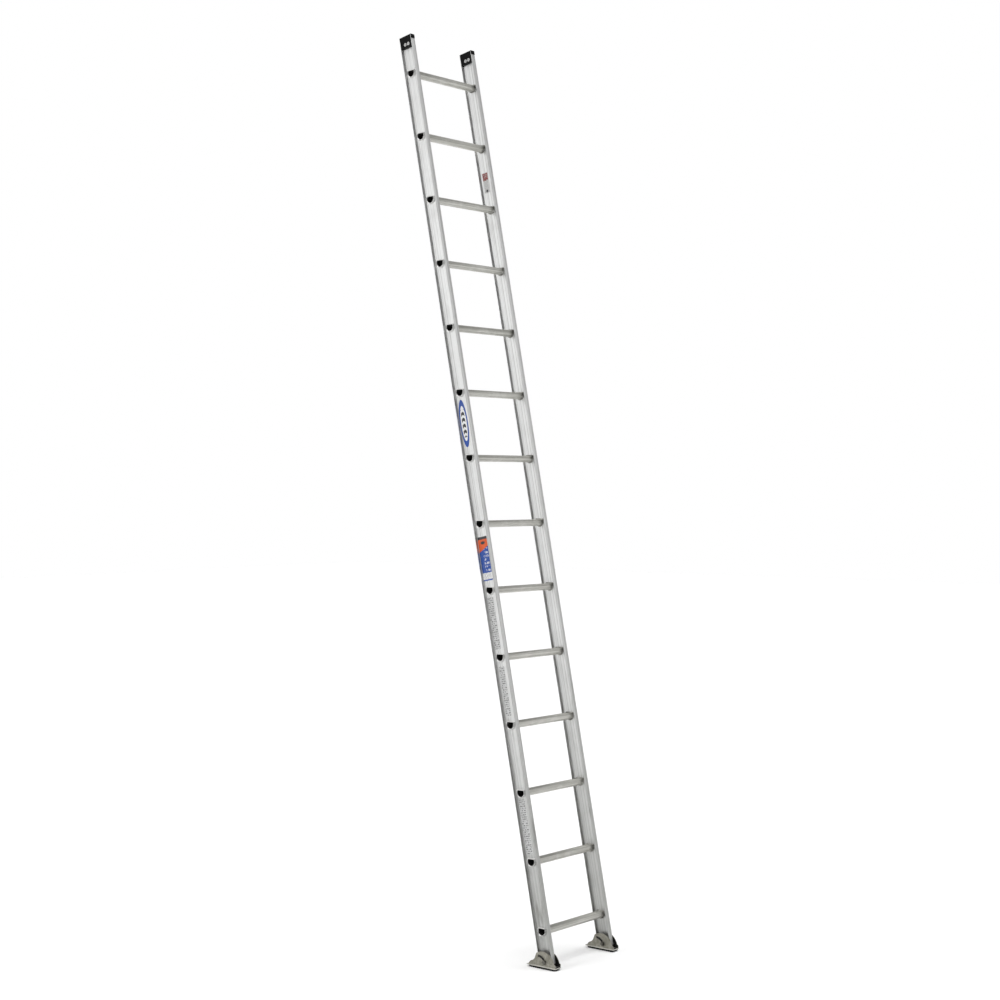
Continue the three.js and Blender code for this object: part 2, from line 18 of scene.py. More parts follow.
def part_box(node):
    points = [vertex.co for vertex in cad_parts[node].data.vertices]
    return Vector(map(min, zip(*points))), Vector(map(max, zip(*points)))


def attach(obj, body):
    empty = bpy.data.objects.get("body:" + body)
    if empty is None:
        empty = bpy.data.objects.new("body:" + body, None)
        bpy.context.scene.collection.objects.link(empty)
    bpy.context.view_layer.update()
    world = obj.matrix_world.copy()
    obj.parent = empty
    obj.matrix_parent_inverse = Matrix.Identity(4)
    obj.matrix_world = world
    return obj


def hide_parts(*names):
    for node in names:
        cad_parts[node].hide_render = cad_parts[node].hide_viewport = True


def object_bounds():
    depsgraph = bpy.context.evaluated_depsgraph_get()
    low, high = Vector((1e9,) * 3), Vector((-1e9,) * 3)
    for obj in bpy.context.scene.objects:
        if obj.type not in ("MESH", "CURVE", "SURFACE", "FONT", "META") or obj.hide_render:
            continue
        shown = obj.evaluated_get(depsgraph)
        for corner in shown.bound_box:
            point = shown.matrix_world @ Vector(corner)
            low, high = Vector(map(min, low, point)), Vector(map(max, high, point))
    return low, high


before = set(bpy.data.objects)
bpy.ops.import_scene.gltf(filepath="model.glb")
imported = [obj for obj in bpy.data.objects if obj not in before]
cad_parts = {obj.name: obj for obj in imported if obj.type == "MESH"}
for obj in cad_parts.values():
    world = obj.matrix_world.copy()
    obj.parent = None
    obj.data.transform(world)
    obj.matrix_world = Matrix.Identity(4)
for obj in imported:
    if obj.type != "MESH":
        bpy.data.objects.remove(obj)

CAD_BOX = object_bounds()
LOG = logging.getLogger("ladder")
# The play between two pieces that meet, and the distance under which two places are one, in metres.
FIT_GAP = 0.0003
SPECK = 1e-5
# The least part of a normal along an axis for a face to count as looking along it.
FACING = 0.9
Thing = bpy.types.Object
Socket = bpy.types.NodeSocket
Colour = tuple[float, float, float]


class Side(Enum):
    """The two rails, each with its direction along X."""

    LEFT = -1
    RIGHT = 1

    @property
    def word(self) -> str:
        """The side's name as the frame's nodes spell it."""
        return self.name.lower()


class Film(Enum):
    """The printed films and inks that the labels are made of."""

    OVAL = "label_blue"
    DUTY = "label_orange"
    NOTICE = "label_grey"
    INNER = "label_red"


# ---------------------------------------------------------------- modelling by hand


class Work:
    """Selections and edit-mode steps on the mesh that is being edited."""

    def __init__(self, thing: Thing) -> None:
        """Starts work on one object, which is already in edit mode."""
        self.thing = thing

    def _choose(self, mode: str, test: Callable[..., bool]) -> int:
        """Selects the parts of one kind that pass a test, and nothing else.

        Args:
            mode: VERT, EDGE or FACE.
            test: Takes a place for a vertex, both ends for an edge, and centre and normal for a face.

        Returns:
            How many parts were selected.
        """
        bpy.ops.mesh.select_mode(type=mode)
        bpy.ops.mesh.select_all(action="DESELECT")
        mesh = bmesh.from_edit_mesh(self.thing.data)
        if mode == "VERT":
            chosen = [v for v in mesh.verts if test(v.co)]
        elif mode == "EDGE":
            chosen = [e for e in mesh.edges if test(e.verts[0].co, e.verts[1].co)]
        else:
            chosen = [f for f in mesh.faces if test(f.calc_center_median(), f.normal)]
        for part in chosen:
            part.select_set(True)
        bmesh.update_edit_mesh(self.thing.data)
        return len(chosen)

    def verts(self, test: Callable[[Vector], bool]) -> int:
        """Selects the vertices whose place passes the test."""
        return self._choose("VERT", test)

    def edges(self, test: Callable[[Vector, Vector], bool]) -> int:
        """Selects the edges whose two ends pass the test."""
        return self._choose("EDGE", test)

    def faces(self, test: Callable[[Vector, Vector], bool]) -> int:
        """Selects the faces whose centre and normal pass the test."""
        return self._choose("FACE", test)

    def everything(self) -> None:
        """Selects the whole mesh."""
        bpy.ops.mesh.select_all(action="SELECT")

    def extrude(self, shift: Sequence[float] = (0, 0, 0)) -> None:
        """Extrudes the selection and moves the new part by the shift."""
        bpy.ops.mesh.extrude_region_move(TRANSFORM_OT_translate={"value": tuple(shift)})

    def move(self, shift: Sequence[float]) -> None:
        """Moves the selection by the shift."""
        bpy.ops.transform.translate(value=tuple(shift))

    def scale(self, factors: Sequence[float], about: Sequence[float]) -> None:
        """Scales the selection about a point, with one factor for each axis."""
        bpy.ops.transform.resize(value=tuple(factors), center_override=tuple(about))

    def inset(self, width: float, depth: float = 0.0) -> None:
        """Insets the selected faces as one region."""
        bpy.ops.mesh.inset(thickness=width, depth=depth, use_boundary=True)

    def bevel(self, width: float, steps: int = 2, corners: bool = False) -> None:
        """Rounds the selected edges, or the selected corners of a flat face."""
        affect = "VERTICES" if corners else "EDGES"
        bpy.ops.mesh.bevel(offset=width, segments=steps, profile=0.5, affect=affect)

    def slice(self, point: Sequence[float], normal: Sequence[float], drop: str = "") -> None:
        """Cuts the whole mesh by a plane, and may drop the side named "over" or "under".

        Args:
            point: A point on the plane.
            normal: The plane's normal.
            drop: Which side goes: "over" is the one that the normal points to.
        """
        self.everything()
        bpy.ops.mesh.bisect(
            plane_co=tuple(point),
            plane_no=tuple(normal),
            clear_outer=drop == "over",
            clear_inner=drop == "under",
        )

    def sweep(self, centre: Sequence[float], angle: float, steps: int) -> None:
        """Spins the selection about an axis along X."""
        bpy.ops.mesh.spin(steps=steps, angle=angle, center=tuple(centre), axis=(1, 0, 0))

    def divide(self, cuts: int) -> None:
        """Divides the selected edges evenly."""
        bpy.ops.mesh.subdivide(number_cuts=cuts)

    def fill(self) -> None:
        """Makes an edge or face between the selected parts."""
        bpy.ops.mesh.edge_face_add()

    def bridge(self) -> None:
        """Joins two selected loops with faces."""
        bpy.ops.mesh.bridge_edge_loops()

    def delete(self, what: str) -> None:
        """Deletes the selected parts: VERT, EDGE, FACE or ONLY_FACE."""
        bpy.ops.mesh.delete(type=what)

    def tidy(self) -> None:
        """Merges doubled vertices and turns every face outwards."""
        self.everything()
        bpy.ops.mesh.remove_doubles(threshold=SPECK)
        bpy.ops.mesh.normals_make_consistent(inside=False)


class Bench:
    """Whole-object steps: primitives, cuts, joins, copies and placing."""

    @staticmethod
    def _only(thing: Thing) -> None:
        """Makes one object the only selected and the active one.

        Args:
            thing: The object.
        """
        bpy.ops.object.select_all(action="DESELECT")
        thing.select_set(True)
        bpy.context.view_layer.objects.active = thing

    @staticmethod
    def settle(name: str) -> Thing:
        """Names the new primitive and moves its place, turn and scale into its mesh.

        Args:
            name: The object's name.

        Returns:
            The settled object.
        """
        thing = bpy.context.active_object
        thing.name = thing.data.name = name
        bpy.ops.object.transform_apply(location=True, rotation=True, scale=True)
        return thing

    @classmethod
    def box(cls, name: str, low: Sequence[float], high: Sequence[float]) -> Thing:
        """Adds a cube between two corners.

        Args:
            name: The object's name.
            low: Its lowest corner.
            high: Its highest corner.

        Returns:
            The new object.
        """
        bpy.ops.object.select_all(action="DESELECT")
        size = Vector(high) - Vector(low)
        bpy.ops.mesh.primitive_cube_add(size=1, location=(Vector(low) + Vector(high)) / 2, scale=size)
        return cls.settle(name)

    @classmethod
    def rod(cls, name: str, centre: Sequence[float], radius: float, length: float,
            sides: int = 48, upright: bool = False) -> Thing:
        """Adds a cylinder along X, or along Z when it is upright.

        Args:
            name: The object's name.
            centre: The middle of the cylinder.
            radius: Its radius.
            length: Its length.
            sides: How many faces go round it.
            upright: Whether it stands along Z.

        Returns:
            The new object.
        """
        bpy.ops.object.select_all(action="DESELECT")
        turn = (0, 0, 0) if upright else (0, math.pi / 2, 0)
        bpy.ops.mesh.primitive_cylinder_add(
            vertices=sides, radius=radius, depth=length, location=tuple(centre), rotation=turn
        )
        return cls.settle(name)

    @classmethod
    def ring(cls, name: str, centre: Sequence[float], radius: float, sides: int, filled: bool) -> Thing:
        """Adds a flat circle that faces along X, as a face or as bare edges.

        Args:
            name: The object's name.
            centre: The circle's middle.
            radius: Its radius.
            sides: How many edges it has.
            filled: Whether it is a face or bare edges.

        Returns:
            The new object.
        """
        bpy.ops.object.select_all(action="DESELECT")
        bpy.ops.mesh.primitive_circle_add(
            vertices=sides,
            radius=radius,
            fill_type="NGON" if filled else "NOTHING",
            location=tuple(centre),
            rotation=(0, math.pi / 2, 0),
        )
        return cls.settle(name)

    @classmethod
    @contextmanager
    def edit(cls, thing: Thing) -> Iterator[Work]:
        """Opens one object in edit mode for a block of steps.

        Args:
            thing: The object to edit.

        Returns:
            The steps that work on it, for a with block.
        """
        cls._only(thing)
        bpy.ops.object.mode_set(mode="EDIT")
        try:
            yield Work(thing)
        finally:
            bpy.ops.object.mode_set(mode="OBJECT")

    @classmethod
    def modify(cls, thing: Thing, kind: str, **settings: object) -> None:
        """Adds a modifier with its settings and applies it at once.

        Args:
            thing: The object to change.
            kind: The modifier's type.
            settings: Its properties.
        """
        cls._only(thing)
        modifier = thing.modifiers.new(kind.lower(), kind)
        for key, value in settings.items():
            setattr(modifier, key, value)
        bpy.ops.object.modifier_apply(modifier=modifier.name)

    @classmethod
    def combine(cls, thing: Thing, tools: Sequence[Thing], how: str) -> None:
        """Cuts, joins or intersects an object with others, which are used up.

        Args:
            thing: The object that stays.
            tools: The objects that shape it.
            how: DIFFERENCE, UNION or INTERSECT.
        """
        for tool in tools:
            cls.modify(thing, "BOOLEAN", operation=how, object=tool, solver="EXACT")
            bpy.data.objects.remove(tool)

    @classmethod
    def gather(cls, things: Sequence[Thing]) -> Thing:
        """Joins objects that don't touch into the first one's mesh.

        Args:
            things: The objects, which all end up in the first.

        Returns:
            The first object.
        """
        cls._only(things[0])
        for other in things[1:]:
            other.select_set(True)
        bpy.ops.object.join()
        return things[0]

    @classmethod
    def round_edges(cls, thing: Thing, width: float, steps: int = 2, angle: float = 30) -> None:
        """Rounds every edge that is sharper than the angle, in degrees.

        Args:
            thing: The object to change.
            width: The rounding's width.
            steps: Its segments.
            angle: The least angle that is rounded.
        """
        cls.modify(
            thing, "BEVEL", width=width, segments=steps, limit_method="ANGLE",
            angle_limit=math.radians(angle), use_clamp_overlap=True,
        )

    @classmethod
    def place(cls, thing: Thing, where: Matrix) -> Thing:
        """Moves an object by a matrix, and leaves the place in its mesh.

        Args:
            thing: The object to move.
            where: The move and turn.

        Returns:
            The same object.
        """
        thing.matrix_world = where
        cls._only(thing)
        bpy.ops.object.transform_apply(location=True, rotation=True, scale=True)
        return thing

    @classmethod
    def copy(cls, thing: Thing, name: str) -> Thing:
        """Copies an object together with its mesh.

        Args:
            thing: The object to copy.
            name: The copy's name.

        Returns:
            The copy.
        """
        cls._only(thing)
        bpy.ops.object.duplicate(linked=False)
        twin = bpy.context.active_object
        twin.name = twin.data.name = name
        return twin

    @classmethod
    def flip(cls, thing: Thing) -> Thing:
        """Mirrors an object across x = 0 and turns its faces outwards again.

        Args:
            thing: The object to mirror.

        Returns:
            The same object.
        """
        with cls.edit(thing) as work:
            work.everything()
            work.scale((-1, 1, 1), (0, 0, 0))
            work.tidy()
        return thing

    @classmethod
    def tube(cls, name: str, centre: Sequence[float], outer: float, bore: float, length: float,
             chamfer: float, sides: int = 40) -> Thing:
        """Models a ring along X from a cylinder whose ends are inset and joined through.

        Args:
            name: The object's name.
            centre: The middle of the ring.
            outer: The outer radius.
            bore: The radius of the hole.
            length: The length along X.
            chamfer: The width of the rounded outer edges.
            sides: How many faces go round it.

        Returns:
            The new object.
        """
        thing = cls.rod(name, centre, outer, length, sides)
        with cls.edit(thing) as work:
            work.faces(lambda at, n: abs(n.x) > FACING)
            work.inset(outer - bore)
            work.faces(
                lambda at, n: abs(n.x) > FACING
                and math.hypot(at.y - centre[1], at.z - centre[2]) < SPECK
            )
            work.delete("FACE")
            reach = bore * 1.01
            work.edges(
                lambda a, b: abs(a.x - b.x) < SPECK
                and math.hypot(a.y - centre[1], a.z - centre[2]) < reach
                and math.hypot(b.y - centre[1], b.z - centre[2]) < reach
            )
            work.bridge()
            work.tidy()
        cls.round_edges(thing, chamfer, 2, 40)
        return cls.smooth(thing)

    @classmethod
    def smooth(cls, thing: Thing, angle: float = 30) -> Thing:
        """Shades an object smooth, with edges over the angle kept sharp.

        Args:
            thing: The object to shade.
            angle: The least angle that stays sharp, in degrees.

        Returns:
            The same object.
        """
        cls._only(thing)
        bpy.ops.object.shade_smooth_by_angle(angle=math.radians(angle))
        return thing


def finish_piece(thing: Thing, body: str, nodes: Sequence[str]) -> Thing:
    """Hangs a piece on its body and says which nodes it stands for.

    Args:
        thing: The finished piece.
        body: The body that it moves with.
        nodes: The nodes that it stands for.

    Returns:
        The same piece.
    """
    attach(thing, body)
    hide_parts(*nodes)
    LOG.info("%s stands for %s on %s", thing.name, ", ".join(nodes), body)
    return thing


def dress(thing: Thing, *materials: bpy.types.Material) -> Thing:
    """Gives a piece its materials, in the order of its slots.

    Args:
        thing: The piece.
        materials: Its materials, first slot first.

    Returns:
        The same piece.
    """
    thing.data.materials.clear()
    for material in materials:
        thing.data.materials.append(material)
    return thing


def middle_of(node: str) -> Vector:
    """The middle of a node's box, in the row's axes."""
    low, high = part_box(node)
    return (low + high) / 2


@dataclass(frozen=True)
class RailAxes:
    """The axes of the leaning frame, with the origin between the shoe bolts and +Z along the rails."""

    origin: Vector
    lean: float

    @classmethod
    def measured(cls) -> "RailAxes":
        """Finds the axes from the rungs and the shoe bolts of the frame.

        Returns:
            The axes.
        """
        climb = middle_of("rung_14") - middle_of("rung_01")
        bolt = middle_of("left_shoe_bolt")
        return cls(Vector((0, bolt.y, bolt.z)), math.atan2(climb.y, climb.z))

    @property
    def matrix(self) -> Matrix:
        """Takes a place in these axes to the row's axes."""
        return Matrix.Translation(self.origin) @ Matrix.Rotation(-self.lean, 4, "X")

    def box(self, node: str) -> tuple[Vector, Vector]:
        """A node's lowest and highest corner in these axes.

        Args:
            node: The node's name.

        Returns:
            The two corners.
        """
        back = self.matrix.inverted()
        places = [back @ v.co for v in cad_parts[node].data.vertices]
        low = Vector(min(p[i] for p in places) for i in range(3))
        high = Vector(max(p[i] for p in places) for i in range(3))
        return low, high


# ---------------------------------------------------------------- shaders


class Shade:
    """A socket that carries one number, written in expressions."""

    def __init__(self, recipe: "Recipe", socket: Socket) -> None:
        """Wraps one output socket of a recipe's node."""
        self.recipe = recipe
        self.socket = socket

    def _math(self, operation: str, *values: "Shade | float") -> "Shade":
        """Adds one Math node that works on the values in order.

        Args:
            operation: The node's operation.
            values: Its inputs, in order.

        Returns:
            The node's result.
        """
        inputs = {i: v.socket if isinstance(v, Shade) else v for i, v in enumerate(values)}
        node = self.recipe.node("ShaderNodeMath", {"operation": operation}, inputs)
        return Shade(self.recipe, node.outputs[0])

    def __add__(self, other: "Shade | float") -> "Shade":
        """self + other"""
        return self._math("ADD", self, other)

    __radd__ = __add__

    def __sub__(self, other: "Shade | float") -> "Shade":
        """self - other"""
        return self._math("SUBTRACT", self, other)

    def __rsub__(self, other: float) -> "Shade":
        """other - self"""
        return self._math("SUBTRACT", other, self)

    def __mul__(self, other: "Shade | float") -> "Shade":
        """self * other"""
        return self._math("MULTIPLY", self, other)

    __rmul__ = __mul__

    def __truediv__(self, other: "Shade | float") -> "Shade":
        """self / other"""
        return self._math("DIVIDE", self, other)

    def __gt__(self, other: "Shade | float") -> "Shade":
        """1 where self is over other, else 0."""
        return self._math("GREATER_THAN", self, other)

    def __lt__(self, other: "Shade | float") -> "Shade":
        """1 where self is under other, else 0."""
        return self._math("LESS_THAN", self, other)

    def __abs__(self) -> "Shade":
        """The size of self."""
        return self._math("ABSOLUTE", self)

    def share(self) -> "Shade":
        """The part of self after the whole number."""
        return self._math("FRACT", self)

    def rise(self, low: float, high: float) -> "Shade":
        """Runs smoothly from 0 at low to 1 at high.

        Args:
            low: Where it leaves 0.
            high: Where it reaches 1.

        Returns:
            The eased share.
        """
        node = self.recipe.node(
            "ShaderNodeMapRange",
            {"interpolation_type": "SMOOTHSTEP"},
            {"Value": self.socket, "From Min": low, "From Max": high},
        )
        return Shade(self.recipe, node.outputs[0])


class NodeTree:
    """A node tree with the one method that adds nodes to it."""

    def __init__(self, tree: bpy.types.NodeTree) -> None:
        """Works on a tree that is there already."""
        self.tree = tree

    def node(self, kind: str, settings: dict[str, object] | None = None,
             inputs: dict[str | int, object] | None = None) -> bpy.types.Node:
        """Adds a node of any type.

        Args:
            kind: The node's type.
            settings: Its properties, which are set first.
            inputs: Values or links for its sockets, by name or number.

        Returns:
            The new node.
        """
        node = self.tree.nodes.new(kind)
        for key, value in (settings or {}).items():
            setattr(node, key, value)
        for key, value in (inputs or {}).items():
            if isinstance(value, Shade):
                value = value.socket
            if isinstance(value, bpy.types.NodeSocket):
                self.tree.links.new(value, node.inputs[key])
            elif isinstance(value, tuple) and len(value) == 3 and node.inputs[key].type == "RGBA":
                node.inputs[key].default_value = (*value, 1)
            else:
                node.inputs[key].default_value = value
        return node


class Recipe(NodeTree):
    """Builds one node material around a Principled shader."""

    def __init__(self, name: str) -> None:
        """Starts an empty material with its shader and output.

        Args:
            name: The material's name.
        """
        self.material = bpy.data.materials.new(name)
        self.material.use_nodes = True
        super().__init__(self.material.node_tree)
        self.tree.nodes.clear()
        self.shader = self.node("ShaderNodeBsdfPrincipled")
        self.node("ShaderNodeOutputMaterial", inputs={"Surface": self.shader.outputs[0]})

    def object_place(self) -> Socket:
        """The place on the object, in the row's axes."""
        return self.node("ShaderNodeTexCoord").outputs["Object"]

    def rail_place(self, axes: RailAxes, centre: Vector = Vector((0, 0, 0))) -> Socket:
        """The place in the leaning axes, measured from a centre in those axes.

        Args:
            axes: The leaning axes.
            centre: The point that reads as zero.

        Returns:
            The turned place.
        """
        turn = Matrix.Rotation(axes.lean, 3, "X")
        shift = -(turn @ axes.origin) - centre
        node = self.node("ShaderNodeMapping", inputs={
            "Vector": self.object_place(),
            "Location": tuple(shift),
            "Rotation": (axes.lean, 0, 0),
        })
        return node.outputs[0]

    def stretch(self, place: Socket, factors: tuple[float, float, float]) -> Socket:
        """Multiplies a place, axis by axis."""
        return self.node("ShaderNodeVectorMath", {"operation": "MULTIPLY"}, {0: place, 1: factors}).outputs[0]

    def split(self, place: Socket) -> tuple[Shade, Shade, Shade]:
        """The three numbers of a place."""
        outputs = self.node("ShaderNodeSeparateXYZ", inputs={0: place}).outputs
        return Shade(self, outputs[0]), Shade(self, outputs[1]), Shade(self, outputs[2])

    def noise(self, place: Socket, scale: float, detail: float = 3, roughness: float = 0.5) -> Shade:
        """Soft noise from 0 to 1.

        Args:
            place: Where it is read.
            scale: How fine it is.
            detail: How many finer layers it has.
            roughness: How strong the finer layers are.

        Returns:
            The noise.
        """
        node = self.node("ShaderNodeTexNoise", inputs={
            "Vector": place, "Scale": scale, "Detail": detail, "Roughness": roughness,
        })
        return Shade(self, node.outputs[0])

    def grain(self, place: Socket, factors: tuple[float, float, float], detail: float = 3) -> Shade:
        """Noise that is drawn out by a factor for each axis."""
        return self.noise(self.stretch(place, factors), 1, detail)

    def blend(self, share: Shade | float, first: Socket | Colour, second: Socket | Colour) -> Socket:
        """Runs from the first colour to the second."""
        node = self.node("ShaderNodeMix", {"data_type": "RGBA"}, {0: share, 6: first, 7: second})
        return node.outputs[2]

    def bump(self, height: Shade, strength: float, distance: float) -> Socket:
        """Turns a height into a shading normal.

        Args:
            height: The height to read.
            strength: How strongly it shows.
            distance: The depth that it stands for, in metres.

        Returns:
            The bent normal.
        """
        node = self.node("ShaderNodeBump", inputs={
            "Height": height, "Strength": strength, "Distance": distance,
        })
        return node.outputs[0]

    def finish(self, **sockets: object) -> bpy.types.Material:
        """Sets the shader's sockets.

        Args:
            sockets: Values or links by socket name, with _ for a space.

        Returns:
            The finished material.
        """
        for key, value in sockets.items():
            socket = self.shader.inputs[key.replace("_", " ").title().replace("Ior", "IOR")]
            if isinstance(value, Shade):
                value = value.socket
            if isinstance(value, bpy.types.NodeSocket):
                self.tree.links.new(value, socket)
            elif isinstance(value, tuple):
                socket.default_value = (*value, 1)
            else:
                socket.default_value = value
        return self.material


@dataclass(frozen=True)
class RailMetal:
    """Drawn aluminium of the rails, with die lines along their length."""

    bright: Colour = (0.80, 0.805, 0.80)
    dull: Colour = (0.46, 0.465, 0.45)
    grime: Colour = (0.20, 0.195, 0.18)
    dull_height: float = 1.8

    def material(self, axes: RailAxes) -> bpy.types.Material:
        """Builds the material in the rails' own axes.

        Args:
            axes: The leaning axes.

        Returns:
            The finished material.
        """
        recipe = Recipe("rail_aluminium_drawn")
        place = recipe.rail_place(axes)
        height = recipe.split(place)[2]
        lines = recipe.grain(place, (420, 420, 0.9), 4)
        die = recipe.grain(place, (260, 260, 0.25), 2).rise(0.55, 0.68)
        bands = recipe.grain(place, (120, 120, 0.35), 3)
        cloud = recipe.noise(place, 9, 4, 0.6)
        scuff = recipe.grain(place, (34, 34, 6), 6).rise(0.56, 0.74)
        # Darker and rougher towards the bottom of the rails, fading out at dull_height; the scuffs gather low
        # down too.
        darker_low_down = 1 - height.rise(0.0, self.dull_height)
        dulled = bands.rise(0.35, 0.75) * 0.4 + cloud.rise(0.4, 0.8) * 0.2 + darker_low_down * 0.75
        base = recipe.blend(dulled, self.bright, self.dull)
        base = recipe.blend(die * 0.45, base, self.grime)
        base = recipe.blend(scuff * (darker_low_down * 0.5 + 0.12), base, self.grime)
        rough = 0.30 + bands * 0.16 + cloud * 0.08 + darker_low_down * 0.08
        return recipe.finish(
            base_color=base,
            metallic=0.9,
            roughness=rough,
            normal=recipe.bump(lines * 0.7 + bands * 0.3, 0.35, 0.0003),
        )


@dataclass(frozen=True)
class RungMetal:
    """Warm grey aluminium of the rungs, with die lines along them."""

    bright: Colour = (0.58, 0.575, 0.54)
    dull: Colour = (0.28, 0.275, 0.245)
    worn: Colour = (0.68, 0.675, 0.65)
    swaged: Colour = (0.70, 0.70, 0.69)
    # Near-black colour of the painted shade where each rung meets a web.
    soot: Colour = (0.07, 0.068, 0.06)
    swaged_from: float = 0.2166
    tread_reach: float = 0.16
    # The span along X, just inside each web, over which that painted shade rises.
    soot_between: tuple[float, float] = (0.198, 0.210)

    def material(self) -> bpy.types.Material:
        """Builds the material along the row's X axis.

        Returns:
            The finished material.
        """
        recipe = Recipe("rung_aluminium_drawn")
        place = recipe.object_place()
        along = recipe.split(place)[0]
        lines = recipe.grain(place, (0.9, 620, 620), 4)
        bands = recipe.grain(place, (0.5, 150, 150), 3)
        cloud = recipe.noise(place, 24, 5, 0.6)
        trodden = (1 - abs(along).rise(0.05, self.tread_reach)) * cloud.rise(0.42, 0.62)
        base = recipe.blend(bands.rise(0.3, 0.75) * 0.7 + cloud * 0.2, self.bright, self.dull)
        base = recipe.blend(trodden * 0.25, base, self.worn)
        # Painted shade on the bead just inside each web, where the rung meets it.
        painted_joint_shade = abs(along).rise(*self.soot_between) * cloud.rise(0.25, 0.6)
        base = recipe.blend(painted_joint_shade * 0.75, base, self.soot)
        base = recipe.blend(abs(along) > self.swaged_from, base, self.swaged)
        rough = 0.36 + bands * 0.18 - trodden * 0.08
        return recipe.finish(
            base_color=base,
            metallic=0.82,
            roughness=rough,
            normal=recipe.bump(lines, 0.4, 0.0003),
        )

    def bore(self) -> bpy.types.Material:
        """Builds the near-black inside of the tube, a painted shade for the dark bore.
        """
        recipe = Recipe("rung_bore_oxide")
        place = recipe.object_place()
        lines = recipe.grain(place, (2, 500, 500), 3)
        base = recipe.blend(lines, (0.012, 0.012, 0.012), (0.035, 0.034, 0.032))
        return recipe.finish(
            base_color=base,
            metallic=0.2,
            roughness=0.75 + lines * 0.15,
            normal=recipe.bump(lines, 0.3, 0.0003),
        )


@dataclass(frozen=True)
class ShoeMetal:
    """Stamped aluminium of the shoes, mottled and rubbed bright near its edges."""

    base: Colour = (0.22, 0.212, 0.175)
    pale: Colour = (0.38, 0.37, 0.32)
    rubbed: Colour = (0.66, 0.65, 0.60)
    stain: Colour = (0.09, 0.085, 0.07)
    rubbed_between: tuple[float, float] = (0.0105, 0.0145)

    def material(self) -> bpy.types.Material:
        """Builds the material with its brushing along the shoe.

        Returns:
            The finished material.
        """
        recipe = Recipe("shoe_aluminium_stamped")
        place = recipe.object_place()
        height = recipe.split(place)[2]
        brushed = recipe.grain(place, (900, 30, 900), 4)
        cloud = recipe.noise(place, 55, 6, 0.62)
        pits = recipe.noise(place, 420, 3, 0.6).rise(0.58, 0.72)
        rubbed = 1 - height.rise(*self.rubbed_between)
        base = recipe.blend(cloud.rise(0.35, 0.7), self.base, self.pale)
        base = recipe.blend(rubbed * 0.85, base, self.rubbed)
        base = recipe.blend(pits * cloud * 0.9, base, self.stain)
        return recipe.finish(
            base_color=base,
            metallic=0.72,
            roughness=0.42 + cloud * 0.18 + pits * 0.1,
            normal=recipe.bump(brushed * 0.5 + cloud * 0.5 - pits * 0.4, 0.4, 0.0005),
        )

    def inside(self) -> bpy.types.Material:
        """Builds the near-black painted shade for the inner faces and the slots.

        Returns:
            The finished material.
        """
        recipe = Recipe("shoe_inside_dark")
        place = recipe.object_place()
        cloud = recipe.noise(place, 90, 5, 0.6)
        fine = recipe.noise(place, 800, 3, 0.6)
        return recipe.finish(
            base_color=recipe.blend(cloud, (0.006, 0.006, 0.0055), (0.020, 0.019, 0.017)),
            roughness=0.7 + cloud * 0.2,
            specular_ior_level=0.15,
            normal=recipe.bump(fine * 0.6 + cloud * 0.4, 0.4, 0.0003),
        )


@dataclass(frozen=True)
class BrightMetal:
    """Turned or plated small parts: rivets, bolts, nuts and washers."""

    name: str
    bright: Colour
    dull: Colour
    roughness: float
    rust: float = 0.0

    def material(self) -> bpy.types.Material:
        """Builds the material with fine specks and a cloudy film.

        Returns:
            The finished material.
        """
        recipe = Recipe(self.name)
        place = recipe.object_place()
        cloud = recipe.noise(place, 160, 5, 0.6)
        fine = recipe.noise(place, 1400, 3, 0.6)
        base = recipe.blend(cloud.rise(0.35, 0.7), self.bright, self.dull)
        if self.rust:
            spots = recipe.noise(place, 260, 5, 0.7).rise(0.60, 0.70)
            base = recipe.blend(spots * self.rust, base, (0.20, 0.09, 0.035))
        return recipe.finish(
            base_color=base,
            metallic=0.95,
            roughness=self.roughness + cloud * 0.14,
            normal=recipe.bump(fine * 0.6 + cloud * 0.4, 0.25, 0.0002),
        )


@dataclass(frozen=True)
class MouldedPlastic:
    """Glossy black plastic of the end caps, with a fine moulded grain."""

    black: Colour = (0.0018, 0.0018, 0.002)
    dusty: Colour = (0.010, 0.010, 0.0095)

    def material(self) -> bpy.types.Material:
        """Builds the material with a little dust and a few scuffs.

        Returns:
            The finished material.
        """
        recipe = Recipe("black_plastic_moulded")
        place = recipe.object_place()
        grain = recipe.noise(place, 1500, 3, 0.6)
        cloud = recipe.noise(place, 60, 5, 0.6)
        scuff = recipe.grain(place, (60, 900, 160), 4).rise(0.64, 0.74)
        base = recipe.blend(cloud.rise(0.5, 0.8) * 0.5 + scuff * 0.4, self.black, self.dusty)
        return recipe.finish(
            base_color=base,
            roughness=0.34 + cloud * 0.14 + scuff * 0.2,
            specular_ior_level=0.10,
            normal=recipe.bump(grain * 0.5 + cloud * 0.3 - scuff * 0.3, 0.3, 0.0003),
        )


@dataclass(frozen=True)
class TreadRubber:
    """Matt black rubber of the shoe pads."""

    black: Colour = (0.005, 0.005, 0.005)
    dusty: Colour = (0.022, 0.021, 0.019)

    def material(self) -> bpy.types.Material:
        """Builds the material with a rough skin and pale dust low down.

        Returns:
            The finished material.
        """
        recipe = Recipe("black_rubber_tread")
        place = recipe.object_place()
        height = recipe.split(place)[2]
        skin = recipe.noise(place, 900, 4, 0.65)
        cloud = recipe.noise(place, 70, 5, 0.6)
        low = 1 - height.rise(0.0, 0.005)
        base = recipe.blend(low * cloud.rise(0.4, 0.7) * 0.8 + cloud * 0.12, self.black, self.dusty)
        return recipe.finish(
            base_color=base,
            roughness=0.72 + cloud * 0.2,
            specular_ior_level=0.15,
            normal=recipe.bump(skin * 0.7 + cloud * 0.3, 0.5, 0.0006),
        )


